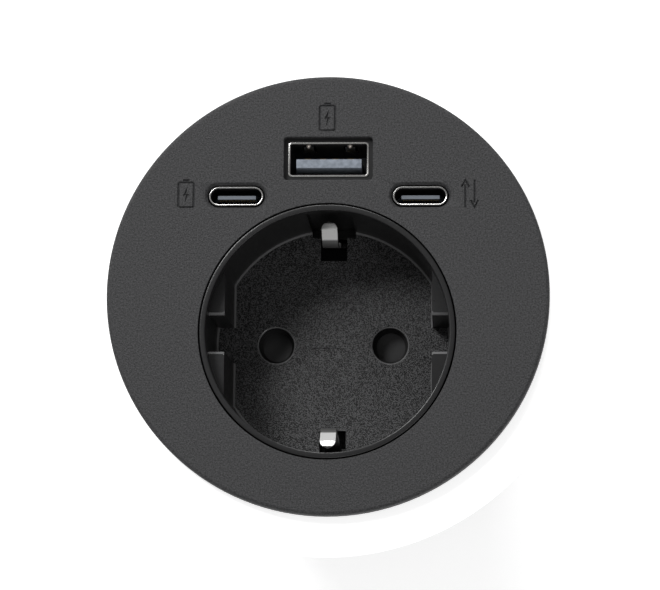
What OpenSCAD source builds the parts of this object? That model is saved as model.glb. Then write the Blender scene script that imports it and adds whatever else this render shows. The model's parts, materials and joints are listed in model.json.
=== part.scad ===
// In-desk power module: one earthed socket and three charging ports in a round barrel
// Origin: centre of the flange's underside, on the desk's surface
// +Z is up out of the desk, +Y points to the charging ports, millimetres

/* [Cover] */
// Overhang of the cover beyond the barrel
cover_overhang = 6.4; // [5.8:0.2:10]
// Height of the cover's face above the desk
cover_h = 2.6; // [2.4:0.1:3.2]
// Thickness of the cover's face
cover_t = 1.6; // [1.4:0.1:1.7]
// Radius of the cover's outer edge
cover_edge_r = 0.7; // [0.3:0.1:1.2]
// Width of the skirt round the cover's rim
skirt_w = 1.9; // [1.5:0.1:2.1]
// Width of each snap hook behind the cover
hook_w = 6; // [5:0.5:8]
// Thickness of each snap hook
hook_t = 1.1; // [0.9:0.1:1.2]
// Reach of each snap hook below the desk's surface
hook_reach = 6.2; // [6:0.2:8]
// Height of the snap hook's barb
barb_h = 2; // [1.4:0.2:2.4]

/* [Barrel] */
// Gap between the socket's collar and the barrel's wall
collar_gap = 0.6; // [0.5:0.05:0.8]
// Wall of the barrel
barrel_wall = 2.2; // [2:0.1:2.4]
// Room for wires between the contact block and the transformer
wire_room = 3.5; // [1.5:0.5:15]
// Outer diameter of each screw column inside the barrel
column_d = 5.8; // [5.2:0.1:6]
// Length of the columns that carry the insert
side_column_len = 14; // [10:1:20]
// Length of the two short columns for the base screws
short_column_len = 11; // [8:1:14]
// Thickness of the base cap
cap_t = 3; // [2.6:0.1:4]
// Height of the rim that centres the cap in the barrel
cap_rim_h = 3; // [2:0.2:3.4]

/* [Socket] */
// Distance from the cover's centre to the socket's axis
socket_offset = 6.05; // [5.8:0.05:6.2]
// Radius of the well at its floor
well_r = 19.5; // [19.3:0.1:19.6]
// Widening of the well from its floor to its mouth
well_draft = 0.3; // [0.1:0.05:0.4]
// Depth of the well
well_depth = 17.5; // [17:0.1:18]
// Width of the rounded lip round the well
lip_w = 0.95; // [0.8:0.05:1]
// Gap between the lip and the cover
lip_gap = 0.25; // [0.15:0.05:0.35]
// Bevel where the well's wall meets its floor
floor_bevel = 0.3; // [0.2:0.05:0.5]
// Thickness of the well's floor
floor_t = 2.5; // [2:0.1:3]
// Distance from the well's wall to each side flat, at the floor
flat_inset = 2.9; // [2.6:0.1:3.1]
// Widening of the side flats from the floor to their ledge
flats_draft = 0.6; // [0.2:0.1:0.8]
// Depth of the ledge on top of the side flats
ledge_depth = 3; // [2:0.2:5]
// Width of the notch in each side flat
notch_w = 6; // [5:0.2:7]
// Bevel on the edges of the notch
notch_bevel = 0.4; // [0.2:0.1:0.6]
// Distance between the two pins
pin_spacing = 19; // [18.8:0.1:19.2]
// Diameter of the pin holes
pin_hole_d = 5.9; // [5.6:0.1:6]
// Width of the slot for an earth clip
clip_slot_w = 4.4; // [4:0.1:5]
// Length of the slot for an earth clip
clip_slot_len = 5.8; // [5.5:0.1:6.1]
// Width of the groove behind an earth clip
clip_groove_w = 7.3; // [6.6:0.1:8]
// Depth of the groove in the well's wall
clip_groove_depth = 0.6; // [0.4:0.1:0.7]
// Depth at which the groove starts below the face
clip_groove_top = 2; // [1.4:0.2:3]
// Length of the wide end of the slot, at the wall
clip_slot_wide_len = 1.9; // [1.4:0.1:2.4]
// Thickness of the ears that carry the insert
ear_t = 2.5; // [2:0.1:3]

/* [Earth bracket] */
// Thickness of the strip
strip_t = 0.8; // [0.6:0.1:1]
// Width of the earth clips
clip_w = 2.55; // [2.2:0.05:3]
// Distance from the well's wall to the clip's inner face at its apex
clip_reach = 4.55; // [4.3:0.05:4.8]
// Depth of the clip's apex below the face
clip_apex_depth = 8; // [7:0.1:9]
// Distance from the well's wall to the clip's tip
clip_tip_inset = 0.8; // [0.7:0.1:1.3]
// Depth of the clip's tip below the face
clip_tip_depth = 4; // [3.6:0.1:5]
// Depth of the strip's inner face in the contact block's side
strip_inset = 1.1; // [0.9:0.1:1.3]
// Inner radius of the bend under the contact block
bend_r = 1.6; // [1.2:0.1:2]
// Radius of the curl at the clip's apex
curl_r = 2.2; // [1.8:0.1:2.6]
// Drop from the clip's apex to the start of its slope
clip_foot = 4; // [3.5:0.1:4.5]

/* [Shutter] */
// Space for the shutter between the floor and the contact block
shutter_room = 3; // [2.9:0.1:3.4]
// Clearance above and below the shutter
shutter_gap = 0.3; // [0.2:0.05:0.4]
// Diameter of the pin that the shutter turns on
pivot_d = 3; // [2.6:0.1:3.4]
// Radial clearance of the shutter on its pin
pivot_gap = 0.05; // [0.03:0.01:0.08]
// Cover of the shutter's pads beyond the pin holes
pad_over = 0.55; // [0.4:0.05:0.65]
// Cover of the shutter's pads inside the pin holes
pad_under = 0.75; // [0.5:0.05:1]
// Angle covered by each pad
pad_angle = 40; // [38:1:42]
// Thickness of the shutter's plate under its ramps
plate_t = 0.9; // [0.7:0.1:1]
// Angle through which the shutter opens
shutter_open = 38; // [36:1:40]
// Radius of the shutter's stops
stop_r = 0.8; // [0.6:0.1:0.9]
// Length of the spring's leg on the shutter's peg
leg_in = 4.2; // [3.6:0.1:4.4]
// Length of the spring's leg on the block's post
leg_out = 6.4; // [5.8:0.1:6.8]
// Wire of the shutter's spring
spring_wire = 0.4; // [0.3:0.05:0.45]
// Turns of the shutter's spring
spring_turns = 2.5; // [1.5:0.5:2.5]

/* [Contacts] */
// Height of the contact block below the shutter
block_h = 16.6; // [15:0.2:17]
// Inset of the contact block from the well's wall
block_inset = 1; // [0.9:0.1:1.2]
// Inner diameter of the contact sleeves
sleeve_id = 4.6; // [4.4:0.1:4.8]
// Wall of the contact sleeves
sleeve_t = 0.6; // [0.5:0.1:0.7]
// Length of the contact sleeves
sleeve_len = 12.6; // [11:0.2:13]
// Width of the slits that make the sleeves springy
slit_w = 0.7; // [0.5:0.1:0.9]
// Clearance of the sleeves in the block
sleeve_gap = 0.3; // [0.2:0.05:0.4]
// Side of the square terminals
terminal_w = 6; // [5.6:0.2:6.4]
// Height of the terminals
terminal_h = 7; // [6:0.2:8]
// Distance between the live and neutral terminals
terminal_spacing = 16; // [15:0.5:17]
// Inset of the terminals from the contact block's side, along Y
terminal_inset = 9.1; // [8.7:0.1:9.5]
// Thickness of the tail between a sleeve and its terminal
tail_t = 0.8; // [0.6:0.1:1]
// Width of the tail between a sleeve and its terminal
tail_w = 5; // [4.4:0.1:5.4]

/* [Ports] */
// Distance from the barrel's wall to the large port's centre
usb_a_inset = 5.1; // [4.9:0.1:5.4]
// Outer width of the large port's shell
usb_a_w = 13.15; // [13:0.05:13.3]
// Outer height of the large port's shell
usb_a_h = 5.75; // [5.6:0.05:5.9]
// Depth of the large port's mouth below the face
usb_a_sunk = 1; // [0.6:0.1:1.2]
// Gap between the large port and the edge of its cut-out
usb_a_gap = 0.65; // [0.4:0.05:0.8]
// Thickness of the shells' sheet metal
shell_t = 0.3; // [0.25:0.05:0.35]
// Distance from the barrel's wall to each small port's centre
usb_c_inset = 5.4; // [5.3:0.05:5.6]
// Angle of the small ports from the X axis
usb_c_angle = 47; // [46:0.5:48]
// Outer width of a small port's shell
usb_c_w = 8.94; // [8.8:0.02:9]
// Outer height of a small port's shell
usb_c_h = 3.2; // [3.1:0.02:3.3]
// Depth of a small port's mouth below the face
usb_c_sunk = 0.3; // [0.1:0.1:0.6]
// Gap between a small port and its cut-out
usb_c_gap = 0.2; // [0.15:0.05:0.3]
// Width of the bevel round a small port's cut-out
usb_c_bevel = 0.45; // [0.2:0.05:0.6]
// Length of a small port's shell
usb_c_len = 11; // [9:0.2:12]
// Depth of the port board's top below the desk's surface
port_board_z = 12.4; // [12:0.2:13.2]
// Thickness of every circuit board
board_t = 1.6; // [1.2:0.1:1.8]

/* [Power supply] */
// Height of the posts under the power board
post_h = 3.5; // [3.5:0.1:5]
// Diameter of the posts under the power board
post_d = 4.5; // [4:0.1:5]
// Width of the riser board
riser_w = 13; // [10:0.5:14]
// Width of the transformer's core
core_w = 17; // [15:0.5:18]
// Depth of the transformer's core
core_d = 6; // [5:0.5:7]
// Height of the transformer's core
core_h = 13.4; // [12:0.2:14]
// Thickness of the core's outer legs and yokes
core_leg = 2.2; // [2:0.1:2.4]
// Width of the core's middle leg
core_mid = 4.5; // [4:0.1:5]
// Diameter of the bulk capacitor
bulk_d = 10; // [8:0.5:10.4]
// Height of the bulk capacitor
bulk_h = 13; // [10:0.5:13.5]
// Diameter of the output capacitors
output_d = 6.3; // [5:0.1:6.4]
// Height of the output capacitors
output_h = 11; // [7:0.5:12]

/* [Inlets] */
// Bore of the mains lead's grommet
mains_bore_d = 7.2; // [6.6:0.2:8]
// Bore of the data lead's grommet
data_bore_d = 4.6; // [4.2:0.2:5]
// Distance from the barrel's wall to the mains inlet
mains_inset = 10.8; // [10.4:0.2:11.4]
// Distance from the barrel's wall to the data inlet
data_inset = 9; // [8.6:0.1:9.4]
// Angle of the data inlet behind the X axis
data_angle = 43; // [42:0.5:44]
// Wall of a grommet inside its hole
grommet_wall = 1.5; // [1.2:0.1:1.8]
// Overlap of a grommet's flanges on the cap
grommet_flange = 1.4; // [1:0.1:1.6]
// Thickness of a grommet's flanges
grommet_flange_t = 1; // [0.8:0.1:1.2]

/* [Clamp] */
// Width of the clamp nut and its washer beyond the barrel
clamp_w = 5.9; // [4:0.1:6.3]
// Radial clearance of the nut and washer on the barrel
clamp_gap = 0.08; // [0.05:0.01:0.1]
// Thickness of the clamp washer
washer_t = 1.6; // [1.2:0.1:2]
// Height of the clamp nut
nut_h = 10; // [8:0.5:12]
// Wall of the nut round its thread
nut_wall = 2.4; // [2:0.1:3]
// Thickness of the nut's flange
nut_flange_t = 2.2; // [1.8:0.1:3]
// Rise of the barrel's thread in one turn
thread_pitch = 4; // [3:0.5:5]
// Depth of the thread
thread_depth = 0.75; // [0.5:0.05:0.9]
// Width of the thread's crest
thread_crest_w = 1; // [0.8:0.1:1.4]
// Width of the thread's foot
thread_foot_w = 1.9; // [1.6:0.1:2.4]
// Width of the plain lane between two sectors of the thread
thread_lane_w = 8; // [5:0.5:12]
// Depth of the thread's upper end below the desk's surface
thread_top = 8; // [6:0.5:12]
// Number of grips on the nut
nut_grips = 12; // [8:1:16]
// Width of each grip on the nut
nut_grip_w = 3; // [2:0.2:4]
// Depth of the washer's top face below the desk's surface
desk_t = 19; // [10:1:40]

/* [Screws] */
// Shank diameter of the small screws
screw_d = 2.4; // [2:0.1:2.6]
// Head diameter of the small screws
screw_head_d = 4.6; // [4.2:0.1:4.8]
// Head height of the small screws
screw_head_h = 1.6; // [1.4:0.1:1.8]
// Thread length of the small screws in plastic
screw_bite = 7; // [5:0.5:8]
// Shank diameter of the terminal screws
terminal_screw_d = 3; // [2.6:0.1:3.4]

/* [Small parts] */
// Diameter of the choke's flanges
choke_d = 7.6; // [6:0.2:8]
// Height of the choke
choke_h = 7; // [5:0.5:9]
// Diameter of the fuse
fuse_d = 3.6; // [3:0.2:4]
// Length of the fuse's body
fuse_len = 8.5; // [7:0.5:9]
// Width of the rectifier
rectifier_w = 6.4; // [5:0.2:7]
// Width of the controller chip
chip_w = 5; // [4:0.2:6]
// Thickness of the riser board
riser_t = 1.2; // [1:0.1:1.6]
// Width of the large port's tongue
tongue_a_w = 10.7; // [10:0.1:11.2]
// Thickness of the large port's tongue
tongue_a_h = 1.9; // [1.6:0.1:2]
// Width of a small port's tongue
tongue_c_w = 6.69; // [6.4:0.05:6.8]
// Thickness of a small port's tongue
tongue_c_h = 0.7; // [0.6:0.05:0.8]

/* [Hidden] */
$fn = 64;
eps = 0.02;
fit = 0.1;

// Cover and barrel
face_z = cover_h;
cover_under_z = face_z - cover_t;
mouth_r = well_r + well_draft;
collar_r = mouth_r + lip_w;
inner_r = socket_offset + collar_r + collar_gap;
barrel_r = inner_r + barrel_wall;
barrel_d = 2 * barrel_r;
cover_d = barrel_d + 2 * cover_overhang;
flange_r = cover_d / 2 - skirt_w - fit;
clamp_d = barrel_d + 2 * clamp_w;
thread_root_r = barrel_r - thread_depth;
thread_sectors = 4;
thread_span = 360 / thread_sectors - 2 * asin(thread_lane_w / 2 / barrel_r);
column_r = column_d / 2;
column_ring = inner_r - column_r + 0.15;
base_angles = [60, 120, 240, 300];
hook_angles = [32, 148, -50, 230];
screw_r = screw_d / 2;
pilot_r = screw_r + 0.02;
head_r = screw_head_d / 2;

// Socket
flats_w = 2 * (well_r - flat_inset);
groove_v = well_r + clip_groove_depth;
floor_z = face_z - well_depth;
under_z = floor_z - floor_t;
ledge_z = face_z - ledge_depth;
pin_x = pin_spacing / 2;
block_r = well_r - block_inset;
block_top_z = under_z - shutter_room;
block_z = block_top_z - block_h;
rim_r = block_r - 1.9;
skirt_r = block_r + fit;
boss_r = 2.2;
block_screw_ring = block_r - head_r - 0.5;
block_screw_angles = [125, 305];
ear_r = inner_r - column_ring - fit;
shutter_top_z = under_z - shutter_gap;
shutter_z = block_top_z + shutter_gap;
module_depth = cap_t + post_h + board_t + core_h + wire_room - block_z;
cap_top_z = cap_t - module_depth;
thread_turns = floor((-thread_top - cap_top_z - thread_foot_w) / thread_pitch);
barb_top_z = -hook_reach + barb_h;

// Earth bracket
clip_tip_z = face_z - clip_tip_depth;
clip_apex_z = face_z - clip_apex_depth;
clip_tip_v = well_r - clip_tip_inset;
clip_apex_v = well_r - clip_reach;
strip_v = block_r - strip_inset;
strip_w = clip_slot_w - 0.4;
curl_from = 200;
curl_to = 130;

// Contacts
sleeve_r = sleeve_id / 2 + sleeve_t;
pocket_r = sleeve_r + sleeve_gap;
sleeve_top_z = block_top_z - 1.2;
sleeve_foot_z = sleeve_top_z - sleeve_len;
terminal_x = terminal_spacing / 2;
terminal_y = block_r - terminal_inset;
chase_x = (pin_x + terminal_x) / 2;
wire_way = 3.4;
wire_hole_d = 2.8;

// Shutter
pad_r = pin_x + pin_hole_d / 2 + pad_over;
pad_in_r = pin_x - pin_hole_d / 2 - pad_under;
hub_r = pivot_d / 2 + 1.1;
stop_angle = asin((stop_r + fit) / (pad_r - 1));
spring_r = hub_r + 0.25 + spring_wire / 2;
spring_z = shutter_z + plate_t + spring_wire / 2 + 0.05;
spring_pitch = (shutter_top_z - spring_z - spring_wire / 2) / spring_turns;
plate_r = spring_r + 1.75;
peg_angle = -16;
peg_r = 0.45;
post_at = spring_r + 3.37;
post_angle = 289.4;
spring_post_r = 0.55;
spring_start = 40;
spring_sides = 8;
spring_steps = 24;
leg_steps = round(spring_turns * spring_steps);

// Ports
usb_a_y = inner_r - usb_a_inset;
usb_c_x = (inner_r - usb_c_inset) * cos(usb_c_angle);
usb_c_y = (inner_r - usb_c_inset) * sin(usb_c_angle);
usb_a_z = face_z - usb_a_sunk;
usb_c_z = face_z - usb_c_sunk;
tongue_a_y = usb_a_y - 0.75;
tongue_a_foot = 3;
tongue_a_sunk = 0.8;
contact_a_len = 8.2;
finger_x = 3.4;
finger_w = 1.6;
port_edge_y = screw_head_d / 2 + 1.7;
board_top_z = -port_board_z;
board_z = board_top_z - board_t;
sides = [-1, 1];

// Power supply
power_z = cap_top_z + post_h;
power_top_z = power_z + board_t;
mains_at = [0, mains_inset - inner_r];
data_at = (inner_r - data_inset) * [cos(data_angle), -sin(data_angle)];
power_edge_y = mains_at[1] + mains_bore_d / 2 + grommet_wall + grommet_flange + 0.9;
post_x = inner_r - post_d - 4.4;
post_ring = inner_r - post_d / 2 - 0.6;
posts = [[-post_x, power_edge_y + 3.2], [post_x, power_edge_y + 3.2],
    [-post_ring * sin(13), post_ring * cos(13)], [post_ring * sin(13), post_ring * cos(13)]];
riser_y = usb_a_y + riser_t / 4;
core_at = [0, power_edge_y + 14.2];
winding_r = core_w / 2 - core_leg - fit;
bulk_at = [-winding_r - bulk_d / 2 - 4.4, power_edge_y + 13.2];
low_row_y = power_edge_y + 3.6;
choke_at = [core_w / 2 + choke_d / 2 + 1.7, power_edge_y + choke_d / 2 + 0.5];
output_low_y = choke_at[1] + choke_d / 2 + output_d / 2 + 0.45;
output_at = [[core_w / 2 + output_d / 2 + 1, output_low_y + output_d - 0.1],
    [inner_r - output_d / 2 - 5.6, output_low_y]];
fuse_at = [-fuse_len / 2 - 4.8, low_row_y];
rectifier_at = [1.5, low_row_y];
chip_at = [-3, core_at[1]];

// A ring that stands on z
module ring(outer_r, bore_r, h, z = 0) {
    translate([0, 0, z]) difference() {
        cylinder(r = outer_r, h = h);
        translate([0, 0, -1]) cylinder(r = bore_r, h = h + 2);
    }
}

// A box centred on X and Y, from z upwards
module block(size, z = 0) {
    translate([-size[0] / 2, -size[1] / 2, z]) cube(size);
}

// An outline with straight ends joined by half circles
module stadium(w, h) {
    square([w - h, h], center = true);
    for (side = sides) translate([side * (w - h) / 2, 0]) circle(d = h);
}

// A rectangle with round corners
module round_rect(w, h, r) {
    square([w - 2 * r, h], center = true);
    square([w, h - 2 * r], center = true);
    for (x = sides, y = sides) translate([x * (w / 2 - r), y * (h / 2 - r)]) circle(r = r);
}

// A mirror image across the XZ plane for side -1
module flip(side) {
    mirror([0, side < 0 ? 1 : 0, 0]) children();
}

module at_socket() {
    translate([0, -socket_offset, 0]) children();
}

module polar(r, angle) {
    rotate([0, 0, angle]) translate([r, 0, 0]) children();
}

// A screw with a slotted pan head: the head's underside is at z = 0 and the shank points down
module screw(shank_d, head_d, head_h, len) {
    difference() {
        union() {
            cylinder(d = head_d, h = head_h);
            translate([0, 0, -len]) cylinder(d = shank_d, h = len + eps);
        }
        translate([0, 0, head_h * 0.45]) block([head_d * 0.7, 0.6, head_h]);
        translate([0, 0, head_h * 0.45]) block([0.6, head_d * 0.7, head_h]);
    }
}

// Points on an arc, for the bent strips
function arc(cx, cy, r, from, to, n = 8) =
    [for (i = [0 : n]) [cx + r * cos(from + (to - from) * i / n), cy + r * sin(from + (to - from) * i / n)]];

function unit(v) = v / norm(v);
function normal_at(path, i) =
    let (a = unit(path[min(i + 1, len(path) - 1)] - path[i == len(path) - 1 ? i - 1 : i]),
         b = unit(path[i == 0 ? 1 : i] - path[max(i - 1, 0)]),
         m = unit(a + b))
    [-m[1], m[0]] / max(0.5, m * a);

// The outline of a strip of thickness t to the left of a path
function ribbon(path, t) = concat(path,
    [for (i = [len(path) - 1 : -1 : 0]) path[i] + t * normal_at(path, i)]);

// Cover

module usb_c_cutout() {
    w = usb_c_w + 2 * usb_c_gap;
    h = usb_c_h + 2 * usb_c_gap;
    run = (w - h) / 2;
    translate([0, 0, cover_under_z - 1]) linear_extrude(cover_t + 2) stadium(w, h);
    // Bevel: a cone at each end and a wedge between them
    for (side = sides) translate([side * run, 0, face_z - usb_c_bevel])
        cylinder(r1 = h / 2, r2 = h / 2 + 2 * usb_c_bevel, h = 2 * usb_c_bevel);
    translate([-run, 0, face_z]) rotate([90, 0, 90]) linear_extrude(2 * run)
        polygon([[-h / 2, -usb_c_bevel], [h / 2, -usb_c_bevel],
            [h / 2 + 2 * usb_c_bevel, usb_c_bevel], [-h / 2 - 2 * usb_c_bevel, usb_c_bevel]]);
}

module snap_hook() {
    outer = inner_r - 0.25;
    translate([outer - hook_t, -hook_w / 2, -hook_reach])
        cube([hook_t, hook_w, hook_reach + cover_under_z + eps]);
    translate([0, hook_w / 2, -hook_reach]) rotate([90, 0, 0]) linear_extrude(hook_w)
        polygon([[outer - eps, 0], [outer - eps, barb_h], [outer + 1.3, barb_h], [outer + 1.3, barb_h * 0.6]]);
}

module face_cover() {
    color([0.16, 0.16, 0.165]) {
        difference() {
            rotate_extrude() {
                translate([0, cover_under_z]) square([cover_d / 2 - cover_edge_r, cover_t]);
                translate([cover_d / 2 - skirt_w, 0]) square([skirt_w, face_z - cover_edge_r]);
                translate([cover_d / 2 - cover_edge_r, face_z - cover_edge_r]) circle(r = cover_edge_r);
            }
            at_socket() translate([0, 0, -1]) cylinder(r = collar_r + lip_gap, h = face_z + 2);
            translate([0, usb_a_y, -1]) linear_extrude(face_z + 2)
                round_rect(usb_a_w + 2 * usb_a_gap, usb_a_h + 2 * usb_a_gap, 0.5);
            for (side = sides) translate([side * usb_c_x, usb_c_y, 0]) usb_c_cutout();
        }
        for (angle = hook_angles) rotate([0, 0, angle]) snap_hook();
    }
}

// Barrel

module column(z, len) {
    translate([0, 0, z]) cylinder(r = column_r, h = len);
}

module pilot(z, len) {
    translate([0, 0, z]) cylinder(r = pilot_r, h = len);
}

// One sector of the thread in one turn; it lies level, and each sector lies a step higher than the last
module thread_sector(turn, sector) {
    rise = thread_pitch * (turn + (sector + 0.5) / thread_sectors);
    sunk_r = thread_root_r - 0.4;
    crest = thread_crest_w / 2;
    sunk = crest + (thread_foot_w / 2 - crest) * (barrel_r - sunk_r) / thread_depth;
    rotate([0, 0, 360 / thread_sectors * sector - thread_span / 2])
        translate([0, 0, -thread_top - thread_turns * thread_pitch + rise])
            rotate_extrude(angle = thread_span) polygon([
                [sunk_r, -sunk],
                [barrel_r, -crest],
                [barrel_r, crest],
                [sunk_r, sunk]
            ]);
}

module housing_barrel() {
    port_column_top = board_z;
    color([0.13, 0.13, 0.135]) difference() {
        union() {
            ring(thread_root_r, inner_r, module_depth - cap_t + cover_under_z, cap_top_z);
            ring(barrel_r, inner_r, thread_top - thread_crest_w + cover_under_z, thread_crest_w - thread_top);
            for (turn = [0:thread_turns - 1], sector = [0:thread_sectors - 1]) thread_sector(turn, sector);
            ring(flange_r, inner_r, cover_under_z);
            for (angle = [0, 180]) polar(column_ring, angle) column(under_z - side_column_len, side_column_len);
            for (angle = [60, 120]) polar(column_ring, angle) column(cap_top_z, port_column_top - cap_top_z);
            for (angle = [240, 300]) polar(column_ring, angle) column(cap_top_z, short_column_len);
        }
        for (angle = hook_angles) rotate([0, 0, angle])
            translate([inner_r - 1, -hook_w / 2 - 0.3, barb_top_z - barb_h - 0.3])
                cube([barrel_wall + 2, hook_w + 0.6, barb_h + 0.4]);
        for (angle = [0, 180]) polar(column_ring, angle) pilot(under_z - screw_bite - 1, screw_bite + 2);
        for (angle = [60, 120]) polar(column_ring, angle) pilot(board_z - screw_bite - 1, screw_bite + 2);
        for (angle = base_angles) polar(column_ring, angle) pilot(cap_top_z - 1, screw_bite + 2);
    }
}

module base_cap() {
    color([0.13, 0.13, 0.135]) difference() {
        union() {
            translate([0, 0, -module_depth]) rotate_extrude() {
                square([barrel_r - 0.6, cap_t]);
                translate([0, 0.6]) square([barrel_r, cap_t - 0.6]);
                translate([barrel_r - 0.6, 0.6]) circle(r = 0.6);
            }
            difference() {
                ring(inner_r - 0.15, inner_r - 1.8, cap_rim_h + eps, cap_top_z - eps);
                for (angle = base_angles) polar(column_ring, angle)
                    translate([0, 0, cap_top_z]) cylinder(r = column_r + 0.3, h = cap_rim_h + 1);
            }
            for (p = posts) translate([p[0], p[1], cap_top_z - eps]) cylinder(d = post_d, h = post_h + eps);
        }
        for (angle = base_angles) polar(column_ring, angle) {
            translate([0, 0, -module_depth - 1]) cylinder(r = screw_r + 0.2, h = cap_t + 2);
            translate([0, 0, -module_depth - 1]) cylinder(r = head_r + 0.3, h = screw_head_h + 0.2 + 1);
        }
        for (p = [[mains_at, mains_bore_d], [data_at, data_bore_d]]) translate([p[0][0], p[0][1], 0]) {
            r = p[1] / 2 + grommet_wall;
            translate([0, 0, -module_depth - 1]) cylinder(r = r + fit, h = cap_t + 2);
            translate([0, 0, -module_depth - 1])
                cylinder(r = r + grommet_flange + 0.3, h = grommet_flange_t + 0.2 + 1);
        }
    }
}

module base_screws() {
    color([0.6, 0.6, 0.62]) for (angle = base_angles) polar(column_ring, angle)
        translate([0, 0, -module_depth + screw_head_h + 0.2]) rotate([180, 0, 0])
            screw(screw_d, screw_head_d, screw_head_h, cap_t - screw_head_h - 0.2 + screw_bite);
}

// A rubber grommet: a sleeve between two flanges, in a hole of the cap
module grommet(bore_d) {
    r = bore_d / 2 + grommet_wall;
    low = -module_depth + 0.2;
    top = cap_top_z + grommet_flange_t;
    rotate_extrude() {
        translate([bore_d / 2, low]) square([grommet_wall, top - low]);
        translate([bore_d / 2, low]) square([grommet_wall + grommet_flange, grommet_flange_t]);
        translate([bore_d / 2, cap_top_z]) square([grommet_wall + grommet_flange, grommet_flange_t]);
    }
}

module mains_grommet() {
    color([0.1, 0.1, 0.1]) translate([mains_at[0], mains_at[1], 0]) grommet(mains_bore_d);
}

module data_grommet() {
    color([0.1, 0.1, 0.1]) translate([data_at[0], data_at[1], 0]) grommet(data_bore_d);
}

// Clamp

module clamp_washer() {
    color([0.1, 0.1, 0.1]) ring(clamp_d / 2, barrel_r + clamp_gap, washer_t, -desk_t - washer_t);
}

module clamp_nut() {
    bore = barrel_r + clamp_gap;
    top = -desk_t - washer_t;
    color([0.16, 0.16, 0.165]) difference() {
        union() {
            translate([0, 0, top - nut_flange_t]) cylinder(r = clamp_d / 2, h = nut_flange_t);
            translate([0, 0, top - nut_h]) cylinder(r = bore + nut_wall, h = nut_h);
            for (i = [0 : nut_grips - 1]) rotate([0, 0, i * 360 / nut_grips])
                translate([bore + nut_wall / 2, nut_grip_w / 2, 0]) rotate([90, 0, 0])
                    linear_extrude(nut_grip_w) polygon([[0, top - nut_h], [nut_wall / 2 + 1, top - nut_h],
                        [clamp_d / 2 - bore - nut_wall / 2 - 0.6, top - nut_flange_t],
                        [0, top - nut_flange_t]]);
        }
        translate([0, 0, top - nut_h - 1]) cylinder(r = bore, h = nut_h + 2);
    }
}

// Socket insert

// Half section of the well, with its draft and the bevel at its floor
module well_section() {
    polygon([[0, floor_z], [well_r - floor_bevel, floor_z], [well_r, floor_z + floor_bevel],
        [mouth_r, face_z], [mouth_r, face_z + 1], [0, face_z + 1]]);
}

// The space in the well: round above the ledge, and between two drafted flats below it
module well_space() {
    half = flats_w / 2;
    intersection() {
        rotate_extrude() well_section();
        union() {
            translate([0, well_r + 1, 0]) rotate([90, 0, 0]) linear_extrude(2 * well_r + 2)
                polygon([[-half + floor_bevel, floor_z - 1], [-half + floor_bevel, floor_z],
                    [-half, floor_z + floor_bevel], [-half - flats_draft / 2, ledge_z],
                    [-half - flats_draft / 2, ledge_z + 0.1], [half + flats_draft / 2, ledge_z + 0.1],
                    [half + flats_draft / 2, ledge_z], [half, floor_z + floor_bevel],
                    [half - floor_bevel, floor_z], [half - floor_bevel, floor_z - 1]]);
            block([2 * well_r + 4, 2 * well_r + 4, well_depth + 2], ledge_z);
            translate([-well_r - 2, 0, 0]) rotate([90, 0, 90]) linear_extrude(2 * well_r + 4)
                polygon([[-notch_w / 2, floor_z - 1], [-notch_w / 2, ledge_z - notch_bevel],
                    [-notch_w / 2 - notch_bevel, ledge_z], [-notch_w / 2 - notch_bevel, ledge_z + 0.1],
                    [notch_w / 2 + notch_bevel, ledge_z + 0.1], [notch_w / 2 + notch_bevel, ledge_z],
                    [notch_w / 2, ledge_z - notch_bevel], [notch_w / 2, floor_z - 1]]);
        }
    }
}

// Slot through the floor and groove in the wall for one earth clip, on the +Y side
module clip_way() {
    translate([-clip_slot_w / 2, groove_v - clip_slot_len, under_z - 1])
        cube([clip_slot_w, clip_slot_len, floor_t + 2]);
    translate([-clip_groove_w / 2, groove_v - clip_slot_wide_len, under_z - 1])
        cube([clip_groove_w, clip_slot_wide_len, well_depth + floor_t + 1 - clip_groove_top]);
}

module socket_insert() {
    color([0.1, 0.1, 0.105]) difference() {
        union() {
            at_socket() {
                rotate_extrude() {
                    translate([0, under_z]) square([collar_r, face_z - lip_w / 2 - under_z]);
                    translate([collar_r - lip_w / 2, face_z - lip_w / 2]) circle(d = lip_w);
                }
                // Skirt that the contact block plugs into
                ring(collar_r, skirt_r, shutter_room + 1.2 + eps, block_top_z - 1.2);
                for (angle = block_screw_angles) polar(block_screw_ring, angle)
                    translate([0, 0, block_top_z]) cylinder(r = boss_r, h = shutter_room + eps);
            }
            for (side = sides) {
                translate([side * column_ring, 0, under_z]) cylinder(r = ear_r, h = ear_t);
                translate([side * (column_ring + mouth_r) / 2, 0, 0])
                    block([column_ring - mouth_r + 2, 2 * ear_r, ear_t], under_z);
            }
        }
        at_socket() {
            well_space();
            for (side = sides) {
                translate([side * pin_x, 0, under_z - 1]) cylinder(d = pin_hole_d, h = floor_t + 2);
                flip(side) clip_way();
            }
            for (angle = block_screw_angles) polar(block_screw_ring, angle)
                pilot(block_top_z - 1, shutter_room + 2);
        }
        for (side = sides) translate([side * column_ring, 0, under_z - 1])
            cylinder(r = screw_r + 0.2, h = ear_t + 2);
    }
}

module insert_screws() {
    color([0.6, 0.6, 0.62]) for (side = sides) translate([side * column_ring, 0, under_z + ear_t])
        screw(screw_d, screw_head_d, screw_head_h, ear_t + screw_bite);
}

// Contacts

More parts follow.
